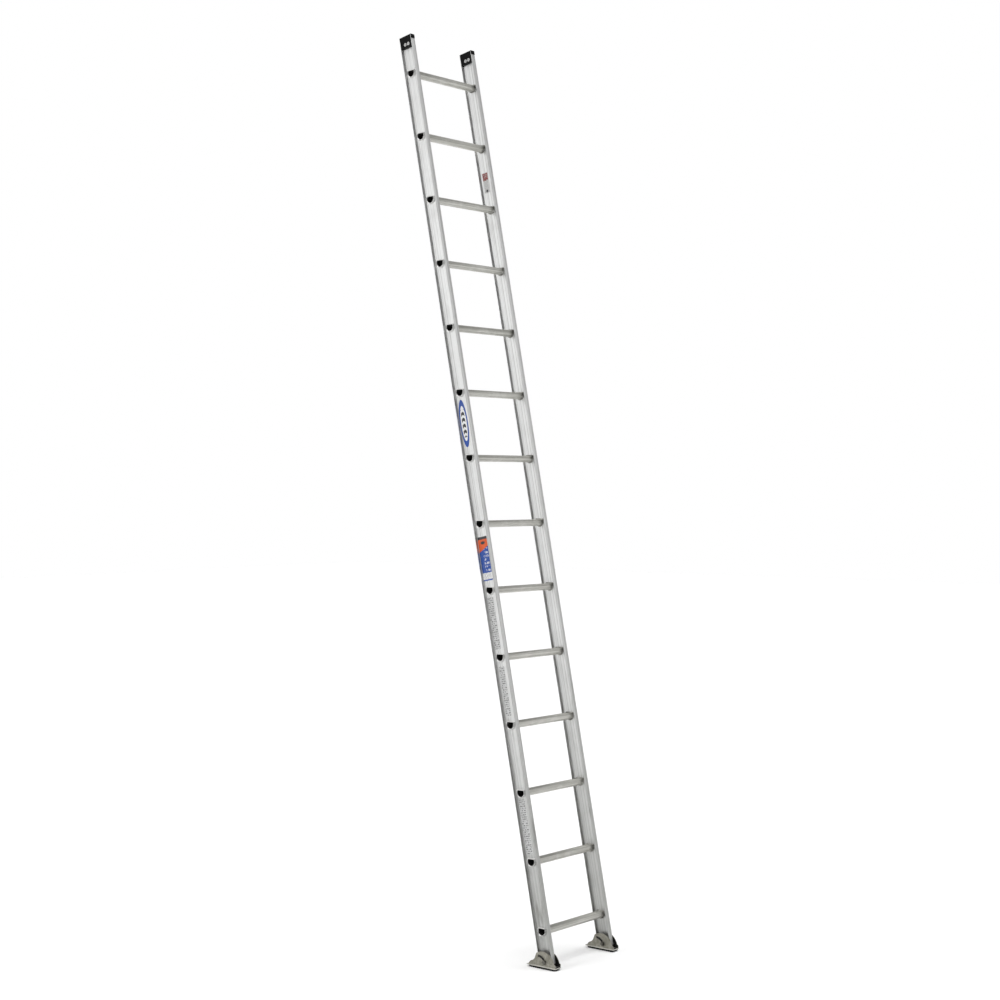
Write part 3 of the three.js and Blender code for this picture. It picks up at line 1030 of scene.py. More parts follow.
@dataclass(frozen=True)
class PrintedFilm:
    """Printed film of one label, with abstract print in place of any words."""

    film: Film
    width: float
    height: float
    white: Colour = (0.86, 0.865, 0.86)
    ink: Colour = (0.03, 0.03, 0.035)
    blue: Colour = (0.016, 0.075, 0.37)
    orange: Colour = (0.74, 0.105, 0.018)
    maroon: Colour = (0.26, 0.05, 0.045)
    grey: Colour = (0.30, 0.30, 0.30)

    def dashes(self, recipe: Recipe, place: Socket, across: Shade, up: Shade,
               rows: float, fine: float) -> Shade:
        """Rows of short broken dashes that stand for print.

        Args:
            recipe: The material that is being built.
            place: The place on the label.
            across: Distance across the label.
            up: Distance along the label.
            rows: How many rows there are in a metre.
            fine: How fine the dashes are.

        Returns:
            1 on the ink and 0 beside it.
        """
        row = (up * rows).share() > 0.42
        broken = recipe.grain(place, (0, fine, rows), 2) > 0.5
        margin = abs(across) < self.width * 0.42
        return row * broken * margin

    def oval(self, recipe: Recipe, place: Socket, across: Shade, up: Shade) -> Socket:
        """Blue oval with a white lens and a stack of dark chevrons.

        Args:
            recipe: The material that is being built.
            place: The place on the label; not used.
            across: Distance across the label.
            up: Distance along the label.

        Returns:
            The print's colour.
        """
        lens_across = across / (self.width * 0.36)
        lens_up = up / (self.height * 0.37)
        lens = (lens_across * lens_across + lens_up * lens_up) < 1
        wave = ((up + abs(across) * 0.8) * (8 / self.height)).share() > 0.45
        core = (abs(across) < self.width * 0.2) * (abs(up) < self.height * 0.29)
        colour = recipe.blend(lens, self.blue, self.white)
        return recipe.blend(wave * core * lens, colour, self.ink)

    def duty(self, recipe: Recipe, place: Socket, across: Shade, up: Shade) -> Socket:
        """Dark strip, orange and blue fields that meet on a slant, a white strip and a line.

        Args:
            recipe: The material that is being built.
            place: The place on the label.
            across: Distance across the label.
            up: Distance along the label.

        Returns:
            The print's colour.
        """
        tall = up / self.height + 0.5
        wide = across / self.width
        slant = tall > (0.715 + wide * 0.13)
        print_rows = self.dashes(recipe, place, across, up, 62, 130)
        colour = recipe.blend(print_rows * (wide > -0.1) * 0.7, self.blue, self.white)
        mark_place = ((wide * wide) * 9 + (tall - 0.86) * (tall - 0.86) * 420) < 0.5
        warm = recipe.blend(mark_place, self.orange, self.ink)
        colour = recipe.blend(slant, colour, warm)
        colour = recipe.blend(tall > 0.94, colour, self.ink)
        small = self.dashes(recipe, place, across, up, 190, 260)
        panel = recipe.blend(small * 0.8, self.white, self.grey)
        colour = recipe.blend(tall < 0.18, colour, panel)
        return recipe.blend(tall < 0.03, colour, self.blue)

    def notice(self, recipe: Recipe, place: Socket, across: Shade, up: Shade) -> Socket:
        """Fine grey print on a light ground.

        Args:
            recipe: The material that is being built.
            place: The place on the label.
            across: Distance across the label.
            up: Distance along the label.

        Returns:
            The print's colour.
        """
        rows = self.dashes(recipe, place, across, up, 240, 420)
        bold = self.dashes(recipe, place, across, up, 105, 190)
        colour = recipe.blend(rows * 0.55, (0.66, 0.665, 0.66), self.grey)
        return recipe.blend(bold * 0.75, colour, (0.08, 0.08, 0.08))

    def inner(self, recipe: Recipe, place: Socket, across: Shade, up: Shade) -> Socket:
        """Maroon block over grey print, with a small dark diamond low down.

        Args:
            recipe: The material that is being built.
            place: The place on the label.
            across: Distance across the label.
            up: Distance along the label.

        Returns:
            The print's colour.
        """
        tall = up / self.height + 0.5
        wide = across / self.width
        rows = self.dashes(recipe, place, across, up, 260, 420)
        colour = recipe.blend(rows * 0.8, (0.62, 0.62, 0.61), self.grey)
        block = self.dashes(recipe, place, across, up, 120, 200)
        heading = recipe.blend(block * 0.7, self.maroon, (0.5, 0.49, 0.48))
        colour = recipe.blend(tall > 0.62, colour, heading)
        diamond = (abs(wide) + abs(tall - 0.1) * (self.height / self.width)) < 0.24
        return recipe.blend(diamond, colour, self.ink)

    def material(self, axes: RailAxes, centre: Vector, name: str) -> bpy.types.Material:
        """Builds the film's material around the label's centre in the rails' axes.

        Args:
            axes: The leaning axes.
            centre: The label's middle in those axes.
            name: The label's node name.

        Returns:
            The finished material.
        """
        recipe = Recipe(f"{name}_film")
        place = recipe.rail_place(axes, centre)
        _, y, up = recipe.split(place)
        across = y * -1
        patterns = {
            Film.OVAL: self.oval, Film.DUTY: self.duty, Film.NOTICE: self.notice, Film.INNER: self.inner,
        }
        colour = patterns[self.film](recipe, place, across, up)
        fade = recipe.noise(place, 40, 5, 0.6)
        worn = recipe.grain(place, (90, 240, 60), 5).rise(0.62, 0.74)
        colour = recipe.blend(fade.rise(0.5, 0.9) * 0.2 + worn * 0.3, colour, (0.6, 0.6, 0.59))
        return recipe.finish(
            base_color=colour,
            metallic=0.35 if self.film is Film.NOTICE else 0.0,
            roughness=0.38 + fade * 0.15 + worn * 0.15,
            normal=recipe.bump(fade * 0.6 + worn * 0.4, 0.2, 0.0002),
        )


@dataclass(frozen=True)
class StudioPaint:
    """Pale matt paper of the floor."""

    pale: Colour = (0.93, 0.93, 0.93)
    shade: Colour = (0.90, 0.90, 0.90)

    def material(self) -> bpy.types.Material:
        """Builds the floor's material with a faint mottle.

        Returns:
            The finished material.
        """
        recipe = Recipe("studio_floor")
        cloud = recipe.noise(recipe.object_place(), 1.5, 3)
        return recipe.finish(base_color=recipe.blend(cloud, self.pale, self.shade), roughness=0.9)


# ---------------------------------------------------------------- sub-assemblies


def raise_dome(work: Work, way: Vector, at: Vector, shank: float, head: float, dome: float,
               profile: Sequence[tuple[float, float]]) -> float:
    """Draws a rivet's selected end face out into a domed head.

    Args:
        work: The rivet in edit mode.
        way: The axis that the head grows along.
        at: A point on the rivet's axis.
        shank: The radius of the end face.
        head: The head's largest radius.
        dome: The head's height.
        profile: Pairs of height share and radius share, from the face out.

    Returns:
        The radius of the head's last ring.
    """
    rise, size = 0.0, shank
    for share, width in profile:
        work.extrude(way * ((share - rise) * dome))
        factor = head * width / size
        work.scale([1 if part else factor for part in way], at)
        rise, size = share, head * width
    return size


@dataclass
class RungSet:
    """The D-shaped rungs, each swaged to both webs."""

    count: int = 14
    half_width: float = 0.019
    half_height: float = 0.0155
    belly_start: float = 0.0045
    belly_depth: float = 0.020
    corner: float = 0.005
    wall: float = 0.0015
    proud: float = 0.010
    web: float = 0.0018
    rib_count: int = 18
    rib_depth: float = 0.00035
    sides: int = 56

    @property
    def names(self) -> list[str]:
        """The rungs' node names, from the lowest up."""
        return [f"rung_{i:02d}" for i in range(1, self.count + 1)]

    def section(self, name: str, at: Vector, grow: float, ribbed: bool) -> Thing:
        """Models the flat D of a rung at one place.

        Args:
            name: The object's name.
            at: The middle of the section.
            grow: How far it is larger than the rung.
            ribbed: Whether the tread has its ribs.

        Returns:
            A flat face that looks along X.
        """
        wide, tall = self.half_width + grow, self.half_height + grow
        middle = Vector((at.x, at.y, at.z + self.belly_start))
        shape = Bench.ring(name, middle, wide, self.sides, True)
        with Bench.edit(shape) as work:
            work.everything()
            work.scale((1, 1, (self.belly_depth + grow) / wide), middle)
            work.verts(lambda p: p.z > middle.z + SPECK)
            work.delete("VERT")
            work.verts(lambda p: p.z > middle.z - SPECK)
            work.extrude((0, 0, at.z + tall - middle.z))
            work.verts(lambda p: p.z > at.z + tall - SPECK)
            work.fill()
            work.everything()
            work.fill()
            work.verts(lambda p: p.z > at.z + tall - SPECK)
            work.bevel(self.corner, 5, corners=True)
            if ribbed:
                self.cut_ribs(work, at, tall)
        return shape

    def cut_ribs(self, work: Work, at: Vector, tall: float) -> None:
        """Divides the tread's edge and lowers every other point of it.

        Args:
            work: The section in edit mode.
            at: The middle of the section.
            tall: The tread's height over the middle.
        """
        flat = 2 * (self.half_width - self.corner)
        step = flat / (2 * self.rib_count)
        top = at.z + tall
        work.edges(lambda a, b: min(a.z, b.z) > top - SPECK and abs(a.y - b.y) > flat / 2)
        work.divide(2 * self.rib_count - 1)
        work.verts(
            lambda p: p.z > top - SPECK
            and round((p.y - at.y + flat / 2) / step) % 2 == 1
            and abs(p.y - at.y) < flat / 2
        )
        work.move((0, 0, -self.rib_depth))

    def rings(self, end: float, web_at: float) -> list[tuple[float, float]]:
        """The places along X where the tube changes, with its growth at each.

        Args:
            end: The distance from the middle to the tube's end.
            web_at: The distance from the middle to the middle of a web.

        Returns:
            Pairs of place and growth, out along the skin and back through the bore.
        """
        # Outside the web: the flared rim and the collar. Between the webs: the bead that meets the web.
        outer = web_at + self.web / 2 + FIT_GAP
        inner = web_at - self.web / 2 - FIT_GAP
        half = [
            (end - 0.0004, 0.0009), (end, 0.0014), (end - 0.0002, 0.0019), (end - 0.0008, 0.0023),
            (end - 0.0016, 0.0025), (outer + 0.003, 0.0034), (outer + 0.0014, 0.0042),
            (outer + 0.0005, 0.0045), (outer, 0.0043), (outer, 0), (inner, 0), (inner, 0.0043),
            (inner - 0.0005, 0.0045), (inner - 0.0014, 0.0043), (inner - 0.003, 0.0033),
            (inner - 0.0042, 0.0016), (inner - 0.0052, 0.0005), (inner - 0.0065, 0),
        ]
        bore = [(end - 0.0016, -0.0004), (end - 0.0034, -self.wall * 0.8), (end - 0.006, -self.wall)]
        left = [(-x, grow) for x, grow in half]
        back = [(-x, grow) for x, grow in reversed(bore)]
        return left + list(reversed(half)) + bore + back

    def build_first(self, skin: bpy.types.Material, bore: bpy.types.Material) -> Thing:
        """Models one rung by drawing its section along X through every ring.

        Args:
            skin: The material of the outside.
            bore: The material of the inside.

        Returns:
            The lowest rung, in its place.
        """
        low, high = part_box("rung_01")
        at = (low + high) / 2
        web_at = abs(middle_of("right_rail").x)
        end = high.x - at.x
        rings = self.rings(end, web_at)
        start = Vector((rings[0][0], at.y, at.z))
        rung = self.section("rung_01_tube", start, 0, True)
        with Bench.edit(rung) as work:
            work.everything()
            work.delete("ONLY_FACE")
            work.everything()
            size = self._grown(rings[0][1])
            work.scale((1, *size), start)
            here = rings[0][0]
            for x, grow in [*rings[1:], rings[0]]:
                work.extrude((x - here, 0, 0))
                larger = self._grown(grow)
                work.scale((1, larger[0] / size[0], larger[1] / size[1]), (x, at.y, at.z))
                here, size = x, larger
            work.tidy()
        dress(rung, skin, bore)
        # Faces inside the tube, short of its ends, take the bore's painted shade.
        for face in rung.data.polygons:
            inward = (face.center.y - at.y) * face.normal.y + (face.center.z - at.z) * face.normal.z < 0
            if inward and abs(face.center.x) < end - 0.003:
                face.material_index = 1
        return Bench.smooth(rung, 25)

    def _grown(self, grow: float) -> tuple[float, float]:
        """The factors that make the section larger by a growth on every side."""
        return 1 + grow / self.half_width, 1 + grow / self.half_height

    def build(self, metal: RungMetal) -> list[Thing]:
        """Models the lowest rung, copies it up the ladder and dresses all of them.

        Args:
            metal: The rungs' finish.

        Returns:
            The rungs, lowest first.
        """
        first = self.build_first(metal.material(), metal.bore())
        base = middle_of("rung_01")
        rungs = [first]
        for name in self.names[1:]:
            rung = Bench.copy(first, f"{name}_tube")
            rungs.append(Bench.place(rung, Matrix.Translation(middle_of(name) - base)))
        for rung, name in zip(rungs, self.names):
            finish_piece(rung, "ladder", [name])
        return rungs

    def hole_cutters(self, side: Side) -> list[Thing]:
        """Models the D-shaped cutters for one rail's web.

        Args:
            side: Which rail it belongs to.

        Returns:
            One cutter for each rung.
        """
        web_at = middle_of(f"{side.word}_rail").x
        cutters = []
        for name in self.names:
            at = middle_of(name)
            at.x = web_at - self.web
            cutter = self.section(f"cut_{name}", at, FIT_GAP, False)
            with Bench.edit(cutter) as work:
                work.everything()
                work.extrude((2 * self.web, 0, 0))
                work.tidy()
            cutters.append(cutter)
        return cutters


@dataclass
class RailPair:
    """The two rails: one web and two flanges, rounded where they meet."""

    axes: RailAxes
    web: float = 0.0018
    flange: float = 0.0022
    fillet: float = 0.0024
    edge: float = 0.0007
    bolt_hole: float = 0.0052

    def build_bar(self, side: Side) -> Thing:
        """Models one bar from a thin web whose edges are drawn out into flanges.

        Args:
            side: Which rail it belongs to.

        Returns:
            The bar, in its place.
        """
        low, high = self.axes.box(f"{side.word}_rail")
        middle, size = (low + high) / 2, high - low
        half_web = Vector((self.web / 2, 0, 0))
        bar = Bench.box(
            f"{side.word}_rail_bar",
            Vector((middle.x, low.y, low.z)) - half_web,
            Vector((middle.x, high.y, high.z)) + half_web,
        )
        root = size.y / 2 - self.flange
        with Bench.edit(bar) as work:
            for way in (-1, 1):
                work.slice((0, middle.y + way * root, 0), (0, 1, 0))
            for way in (-1, 1):
                work.faces(lambda p, n: n.x * way > FACING and abs(p.y - middle.y) > root)
                work.extrude((way * (size.x - self.web) / 2, 0, 0))
            work.edges(
                lambda a, b: abs(a.z - b.z) > size.z / 2
                and abs(abs(a.x - middle.x) - self.web / 2) < SPECK
                and abs(abs(a.y - middle.y) - root) < SPECK
            )
            work.bevel(self.fillet, 5)
            work.edges(
                lambda a, b: abs(a.z - b.z) > size.z / 2 and abs(abs(a.x - middle.x) - size.x / 2) < SPECK
            )
            work.bevel(self.edge, 3)
            work.tidy()
        return Bench.place(bar, self.axes.matrix)

    def build(self, rungs: RungSet, metal: RailMetal) -> list[Thing]:
        """Models both rails, cuts them for rungs, bolts and rivets, and dresses them.

        Args:
            rungs: The rungs that the webs are cut for.
            metal: The rails' finish.

        Returns:
            The two bars.
        """
        material = metal.material(self.axes)
        bars = []
        for side in Side:
            bar = self.build_bar(side)
            web_at = middle_of(f"{side.word}_rail").x
            tools = rungs.hole_cutters(side)
            bolt = Vector((web_at, self.axes.origin.y, self.axes.origin.z))
            tools.append(Bench.rod("cut_bolt", bolt, self.bolt_hole, 4 * self.web))
            for place in ("front", "rear"):
                at = middle_of(f"{side.word}_cap_rivet_{place}")
                tools.append(Bench.rod("cut_rivet", at, CapRivet.hole, 4 * self.web, 24))
            Bench.combine(bar, [Bench.gather(tools)], "DIFFERENCE")
            dress(bar, material)
            Bench.smooth(bar, 25)
            bars.append(finish_piece(bar, "ladder", [f"{side.word}_rail"]))
        return bars


@dataclass
class CapRivet:
    """A domed rivet through a cap, with a dimple in each head."""

    shank: float = 0.0024
    head: float = 0.0044
    dome: float = 0.0020
    dimple: float = 0.0011
    dimple_depth: float = 0.0007
    dimple_taper: float = 0.75
    hole: float = 0.0027
    profile: tuple[tuple[float, float], ...] = (
        (0.0, 1.0), (0.35, 0.97), (0.65, 0.82), (0.88, 0.58), (0.98, 0.36),
    )

    def build(self, node: str, metal: bpy.types.Material) -> Thing:
        """Models one rivet in the place of its node.

        Args:
            node: The rivet's node name.
            metal: Its material.

        Returns:
            The rivet, in its place.
        """
        low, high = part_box(node)
        at = (low + high) / 2
        face = (high.x - low.x) / 2 - self.dome
        rivet = Bench.rod(f"{node}_domed", at, self.shank, 2 * face, 32)
        for way in (-1, 1):
            with Bench.edit(rivet) as work:
                work.faces(lambda p, n: n.x * way > FACING)
                outward = Vector((way, 0, 0))
                size = raise_dome(work, outward, at, self.shank, self.head, self.dome, self.profile)
                work.inset(size - self.dimple)
                work.extrude((-self.dimple_depth * way, 0, 0))
                work.scale((1, self.dimple_taper, self.dimple_taper), (0, at.y, at.z))
        dress(rivet, metal)
        return Bench.smooth(rivet, 35)


@dataclass
class EndCaps:
    """The moulded caps on the rails' top ends, each held by two rivets."""

    axes: RailAxes
    rails: RailPair
    lip: float = 0.020
    mouth: float = 0.006
    crown: float = 0.0034
    side_edge: float = 0.0012
    arris: float = 0.0004
    over: float = 0.01
    drill_length: float = 0.06

    def build_cap(self, side: Side) -> Thing:
        """Models one cap as a plug for both channels, with a top plate and a lip over the front flange.

        Args:
            side: Which rail it belongs to.

        Returns:
            The cap, in its place.
        """
        low, high = self.axes.box(f"{side.word}_cap")
        rail_low, rail_high = self.axes.box(f"{side.word}_rail")
        middle = (low + high) / 2
        cap = Bench.box(f"{side.word}_cap_moulded", low, high)
        with Bench.edit(cap) as work:
            work.edges(lambda a, b: min(a.z, b.z) > high.z - SPECK)
            work.bevel(self.crown, 6)
            work.edges(lambda a, b: abs(a.z - b.z) > self.lip)
            work.bevel(self.side_edge, 3)
            work.tidy()
        gap = Vector((FIT_GAP, FIT_GAP, FIT_GAP))
        past = Vector((self.over, 0, 0))
        web = Vector((self.rails.web / 2, 0, 0)) + gap
        inner = rail_high.y - self.rails.flange
        tools = [
            Bench.box(
                "cut_mouth",
                Vector((low.x, low.y - self.over, low.z - self.over)) - past,
                Vector((high.x, rail_low.y + self.mouth, high.z - self.lip)) + past,
            ),
            Bench.box(
                "cut_front",
                Vector((low.x, rail_low.y, low.z - self.over)) - gap - past,
                Vector((high.x, -inner, rail_high.z)) + gap + past,
            ),
            Bench.box(
                "cut_rear",
                Vector((low.x, inner, low.z - self.over)) - gap - past,
                Vector((high.x, rail_high.y + self.over, rail_high.z)) + gap + past,
            ),
            Bench.box(
                "cut_web",
                Vector((middle.x, -inner, low.z - self.over)) - web,
                Vector((middle.x, inner, rail_high.z + FIT_GAP)) + Vector((web.x, 0, 0)),
            ),
        ]
        Bench.combine(cap, tools, "DIFFERENCE")
        drills = []
        for place in ("front", "rear"):
            at = self.axes.matrix.inverted() @ middle_of(f"{side.word}_cap_rivet_{place}")
            drills.append(Bench.rod("cut_drill", at, CapRivet.hole, self.drill_length, 24))
        Bench.combine(cap, drills, "DIFFERENCE")
        Bench.round_edges(cap, self.arris, 2, 50)
        return Bench.place(cap, self.axes.matrix)

    def build(self, plastic: MouldedPlastic, metal: BrightMetal) -> list[Thing]:
        """Models both caps and their rivets and dresses them.

        Args:
            plastic: The caps' finish.
            metal: The rivets' finish.

        Returns:
            The caps and rivets.
        """
        black, bright = plastic.material(), metal.material()
        things = []
        for side in Side:
            cap = Bench.smooth(dress(self.build_cap(side), black), 35)
            things.append(finish_piece(cap, "ladder", [f"{side.word}_cap"]))
            for place in ("front", "rear"):
                node = f"{side.word}_cap_rivet_{place}"
                rivet = CapRivet().build(node, bright)
                things.append(finish_piece(rivet, "ladder", [node]))
        return things


@dataclass
class ShoePair:
    """The swivelling shoes: a stamped channel with a curved slot, a pointed toe and a rubber pad.

    Places along a shoe are measured from its front lower corner, back and up.
    """

    axes: RailAxes
    plate: float = 0.003
    base: float = 0.004
    inner: float = 0.017
    bolt_back: float = 0.060
    crown_at: tuple[float, float] = (0.070, 0.012)
    crown_radius: float = 0.065
    crown_from: float = 58.0
    crown_to: float = 164.0
    heel: tuple[float, float] = (0.0005, 0.024)
    lip: float = 0.0016
    lip_height: float = 0.003
    lip_length: float = 0.146
    slot_radius: float = 0.0351
    slot_half: float = 0.0052
    slot_from: float = 160.0
    slot_to: float = 92.0
    toe: float = 0.164
    teeth: int = 3
    tooth_depth: float = 0.009
    grooves: int = 11
    groove_depth: float = 0.0022
    pad_nose: float = 0.0125
    pad_tail: float = 0.006
    nose_lift: float = 0.5
    tail_lift: float = 0.6
    base_inset: float = 0.0005
    lip_root: float = 0.001
    toe_flat: float = 0.008
    arris: float = 0.0005
    skin: float = 0.0006
    slot_skin: float = 0.0007
    slot_past: float = 0.2
    slot_facing: float = 0.95
    rivet_hole: float = 0.0028
    rivet_shank: float = 0.0025
    rivet_head: float = 0.0045
    rivet_dome: float = 0.0016
    rivet_profile: tuple[tuple[float, float], ...] = (
        (0.0, 1.0), (0.38, 0.98), (0.7, 0.8), (0.9, 0.55), (1.0, 0.25),
    )
    drill_length: float = 0.02
    pad_drill_height: float = 0.014
    toe_curve: tuple[tuple[float, float], ...] = field(default=(
        (0.109, 0.058), (0.111, 0.0525), (0.113, 0.047), (0.1155, 0.0426), (0.118, 0.039), (0.1213, 0.0358),
        (0.125, 0.0333), (0.130, 0.0309), (0.135, 0.0289), (0.1382, 0.0271), (0.141, 0.0249),
        (0.1442, 0.0211), (0.147, 0.0170), (0.1492, 0.0144), (0.152, 0.0125), (0.163, 0.0095),
    ))

    @property
    def outer(self) -> float:
        """The distance from a shoe's middle to its plate's outer face."""
        return self.inner + self.plate

    def slot_centre(self) -> Vector:
        """The middle of the slot's arc, in the shoe's own axes.

        Returns:
            The arc's middle.
        """
        angle = math.radians(self.slot_from)
        bolt = Vector((0, self.bolt_back, self.axes.origin.z))
        return bolt - self.slot_radius * Vector((0, math.cos(angle), math.sin(angle)))

    def slot_cutter(self) -> Thing:
        """Models the slot's cutter: a flat strip swept along the arc, with a rod at each end.

        Returns:
            The cutter, in the shoe's own axes.
        """
        centre = self.slot_centre()
        start, stop = math.radians(self.slot_from), math.radians(self.slot_to)
        reach = 2 * self.outer
        ends = [centre + self.slot_radius * Vector((0, math.cos(a), math.sin(a))) for a in (start, stop)]
        bpy.ops.object.select_all(action="DESELECT")
        bpy.ops.mesh.primitive_plane_add(size=1, location=ends[0], rotation=(start, 0, 0))
        bpy.context.active_object.scale = (2 * reach, 2 * self.slot_half, 1)
        cutter = Bench.settle("cut_slot")
        with Bench.edit(cutter) as work:
            work.everything()
            work.sweep((0, centre.y, centre.z), start - stop, 24)
            work.tidy()
        rods = [Bench.rod("cut_end", at, self.slot_half, 2 * reach, 48) for at in ends]
        Bench.combine(cutter, rods, "UNION")
        return cutter

    def build_plate(self, floor: float) -> Thing:
        """Models the left side plate: a round crown drawn on into a heel and a toe.

        Args:
            floor: The height of the plate's lower edge.

        Returns:
            The plate, in the shoe's own axes.
        """
        crown = Vector((-self.outer, *self.crown_at))
        plate = Bench.ring("plate", crown, self.crown_radius, 120, False)
        first, last = math.radians(self.crown_from), math.radians(self.crown_to)
        step = math.radians(1.6)

        def angle_at(place: Vector) -> float:
            """The angle of a place round the crown's middle."""
            return math.atan2(place.z - crown.z, place.y - crown.y)

        with Bench.edit(plate) as work:
            work.verts(lambda p: not first - step < angle_at(p) < last + step)
            work.delete("VERT")
            work.verts(lambda p: angle_at(p) < first + step)
            self._draw(work, [*self.toe_curve, (self.toe - self.toe_flat, floor), (self.heel[0], floor)])
            work.verts(lambda p: angle_at(p) > last - step and p.z > self.heel[1])
            self._draw(work, [self.heel])
            work.everything()
            bpy.ops.mesh.remove_doubles(threshold=SPECK)
            foot = Vector((-self.outer, self.heel[0], floor))
            heel = Vector((-self.outer, *self.heel))
            work.verts(lambda p: (p - foot).length < SPECK or (p - heel).length < SPECK)
            work.fill()
            work.everything()
            work.fill()
            work.everything()
            work.extrude((self.plate, 0, 0))
            work.tidy()
        return plate

    @staticmethod
    def _draw(work: Work, stops: Sequence[tuple[float, float]]) -> None:
        """Extrudes the one selected point through the stops, each a place back and up.

        Args:
            work: The plate in edit mode.
            stops: Where the outline goes next, in order.
        """
        for back, up in stops:
            mesh = bmesh.from_edit_mesh(work.thing.data)
            here = next(v.co.copy() for v in mesh.verts if v.select)
            work.extrude((0, back - here.y, up - here.z))

    def build_base(self, floor: float) -> Thing:
        """Models the shoe's base, whose rear edge is drawn out into pointed spurs.

        Args:
            floor: The height of its underside.

        Returns:
            The base, in the shoe's own axes.
        """
        edge = self.outer - self.base_inset
        base = Bench.box(
            "base",
            (-edge, self.heel[0], floor),
            (edge, self.toe - self.tooth_depth, floor + self.base),
        )
        step = 2 * edge / self.teeth
        with Bench.edit(base) as work:
            for i in range(1, 2 * self.teeth):
                work.slice((-edge + i * step / 2, 0, 0), (1, 0, 0))
            root = self.toe - self.tooth_depth
            work.verts(
                lambda p: p.y > root - SPECK and round((p.x + edge) / (step / 2)) % 2 == 1
            )
            work.move((0, self.tooth_depth, 0))
            work.verts(lambda p: p.y > root + SPECK and p.z > floor + self.base / 2)
            work.move((0, -0.001, -self.base * 0.45))
        return base

    def build_shoe(self, floor: float) -> Thing:
        """Models the whole channel in the shoe's own axes.

        Args:
            floor: The height of its underside.

        Returns:
            The channel.
        """
        left = self.build_plate(floor)
        right = Bench.flip(Bench.copy(left, "plate_right"))
        shoe = self.build_base(floor)
        shoe.name = "shoe_channel"
        lips = []
        for way in (-1, 1):
            inside, outside = way * (self.outer - self.lip_root), way * (self.outer + self.lip)
            lip = Bench.box(
                "lip",
                (min(inside, outside), self.heel[0], floor),
                (max(inside, outside), self.heel[0] + self.lip_length, floor + self.lip_height),
            )
            lips.append(lip)
        Bench.combine(shoe, [left, right, *lips], "UNION")
        Bench.combine(shoe, [self.slot_cutter()], "DIFFERENCE")
        drills = []
        for i in (1, 2, 3):
            at = middle_of(f"left_pad_rivet_{i}") - self.corner(Side.LEFT)
            drills.append(Bench.rod("cut_drill", at, self.rivet_hole, self.drill_length, 24, upright=True))
        Bench.combine(shoe, [Bench.gather(drills)], "DIFFERENCE")
        Bench.round_edges(shoe, self.arris, 2, 35)
        return Bench.smooth(shoe, 30)

    def darken_inside(self, shoe: Thing, floor: float) -> None:
        """Gives the second material, a near-black painted shade, to the plates' inner faces, the base's top
        and the slots' walls.

        Args:
            shoe: The channel.
            floor: The height of its underside.
        """
        centre = self.slot_centre()
        start = math.radians(self.slot_from)
        for face in shoe.data.polygons:
            at, normal = face.center, face.normal
            inner_face = normal.x * at.x < -0.5 * abs(at.x) and abs(at.x) < self.inner + self.skin
            low_down = at.z < floor + self.base + self.skin
            base_top = normal.z > FACING and low_down and abs(at.x) < self.inner
            far = math.hypot(at.y - centre.y, at.z - centre.z) - self.slot_radius
            angle = math.atan2(at.z - centre.z, at.y - centre.y)
            on_arc = abs(far) < self.slot_half + self.slot_skin and angle < start + self.slot_past
            in_plate = abs(at.x) > self.inner and at.z > floor + self.base
            slot_wall = abs(normal.x) < self.slot_facing and on_arc and in_plate
            if inner_face or base_top or slot_wall:
                face.material_index = 1

    def corner(self, side: Side) -> Vector:
        """The origin of a shoe's own axes, on the floor under its front."""
        middle = middle_of(f"{side.word}_shoe")
        return Vector((middle.x, self.axes.origin.y - self.bolt_back, 0))

    def build_pad(self) -> Thing:
        """Models the rubber pad in the shoe's own axes, with its grooves pushed up from below.

        Returns:
            The pad.
        """
        low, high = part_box("left_shoe_pad")
        start = self.corner(Side.LEFT)
        low, high = low - start, high - start
        pad = Bench.box("pad", low, high)
        first = low.y + self.pad_nose
        run = (high.y - self.pad_tail - first) / self.grooves
        shares = (0.0, 0.6, 0.7, 0.9)
        with Bench.edit(pad) as work:
            for i in range(self.grooves):
                for share in shares:
                    work.slice((0, first + (i + share) * run, 0), (0, 1, 0))
            work.slice((0, first + self.grooves * run, 0), (0, 1, 0))
            work.verts(lambda p: p.z < SPECK and round((p.y - first) / run % 1, 2) in (0.7, 0.9))
            work.move((0, 0, self.groove_depth))
            work.verts(lambda p: p.z < SPECK and p.y > high.y - SPECK)
            work.move((0, 0, high.z * self.tail_lift))
            work.verts(lambda p: p.z < SPECK and p.y < low.y + SPECK)
            work.move((0, 0, high.z * self.nose_lift))
            work.tidy()
        drills = []
        for i in (1, 2, 3):
            at = middle_of(f"left_pad_rivet_{i}") - start
            at.z = self.pad_drill_height
            drills.append(Bench.rod("cut_drill", at, self.rivet_hole, self.drill_length, 24, upright=True))
        Bench.combine(pad, [Bench.gather(drills)], "DIFFERENCE")
        Bench.round_edges(pad, self.arris, 2, 25)
        return Bench.smooth(pad, 30)

    def build_rivet(self) -> Thing:
        """Models one pad rivet on the middle of the shoe's own axes.

        Returns:
            The rivet.
        """
        low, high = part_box("left_pad_rivet_1")
        under = high.z - self.rivet_dome
        centre = (0, 0, (low.z + under) / 2)
        rivet = Bench.rod("pad_rivet", centre, self.rivet_shank, under - low.z, 32, upright=True)
        with Bench.edit(rivet) as work:
            work.faces(lambda p, n: n.z > FACING)
            raise_dome(
                work, Vector((0, 0, 1)), Vector((0, 0, 0)),
                self.rivet_shank, self.rivet_head, self.rivet_dome, self.rivet_profile,
            )
        return Bench.smooth(rivet, 35)

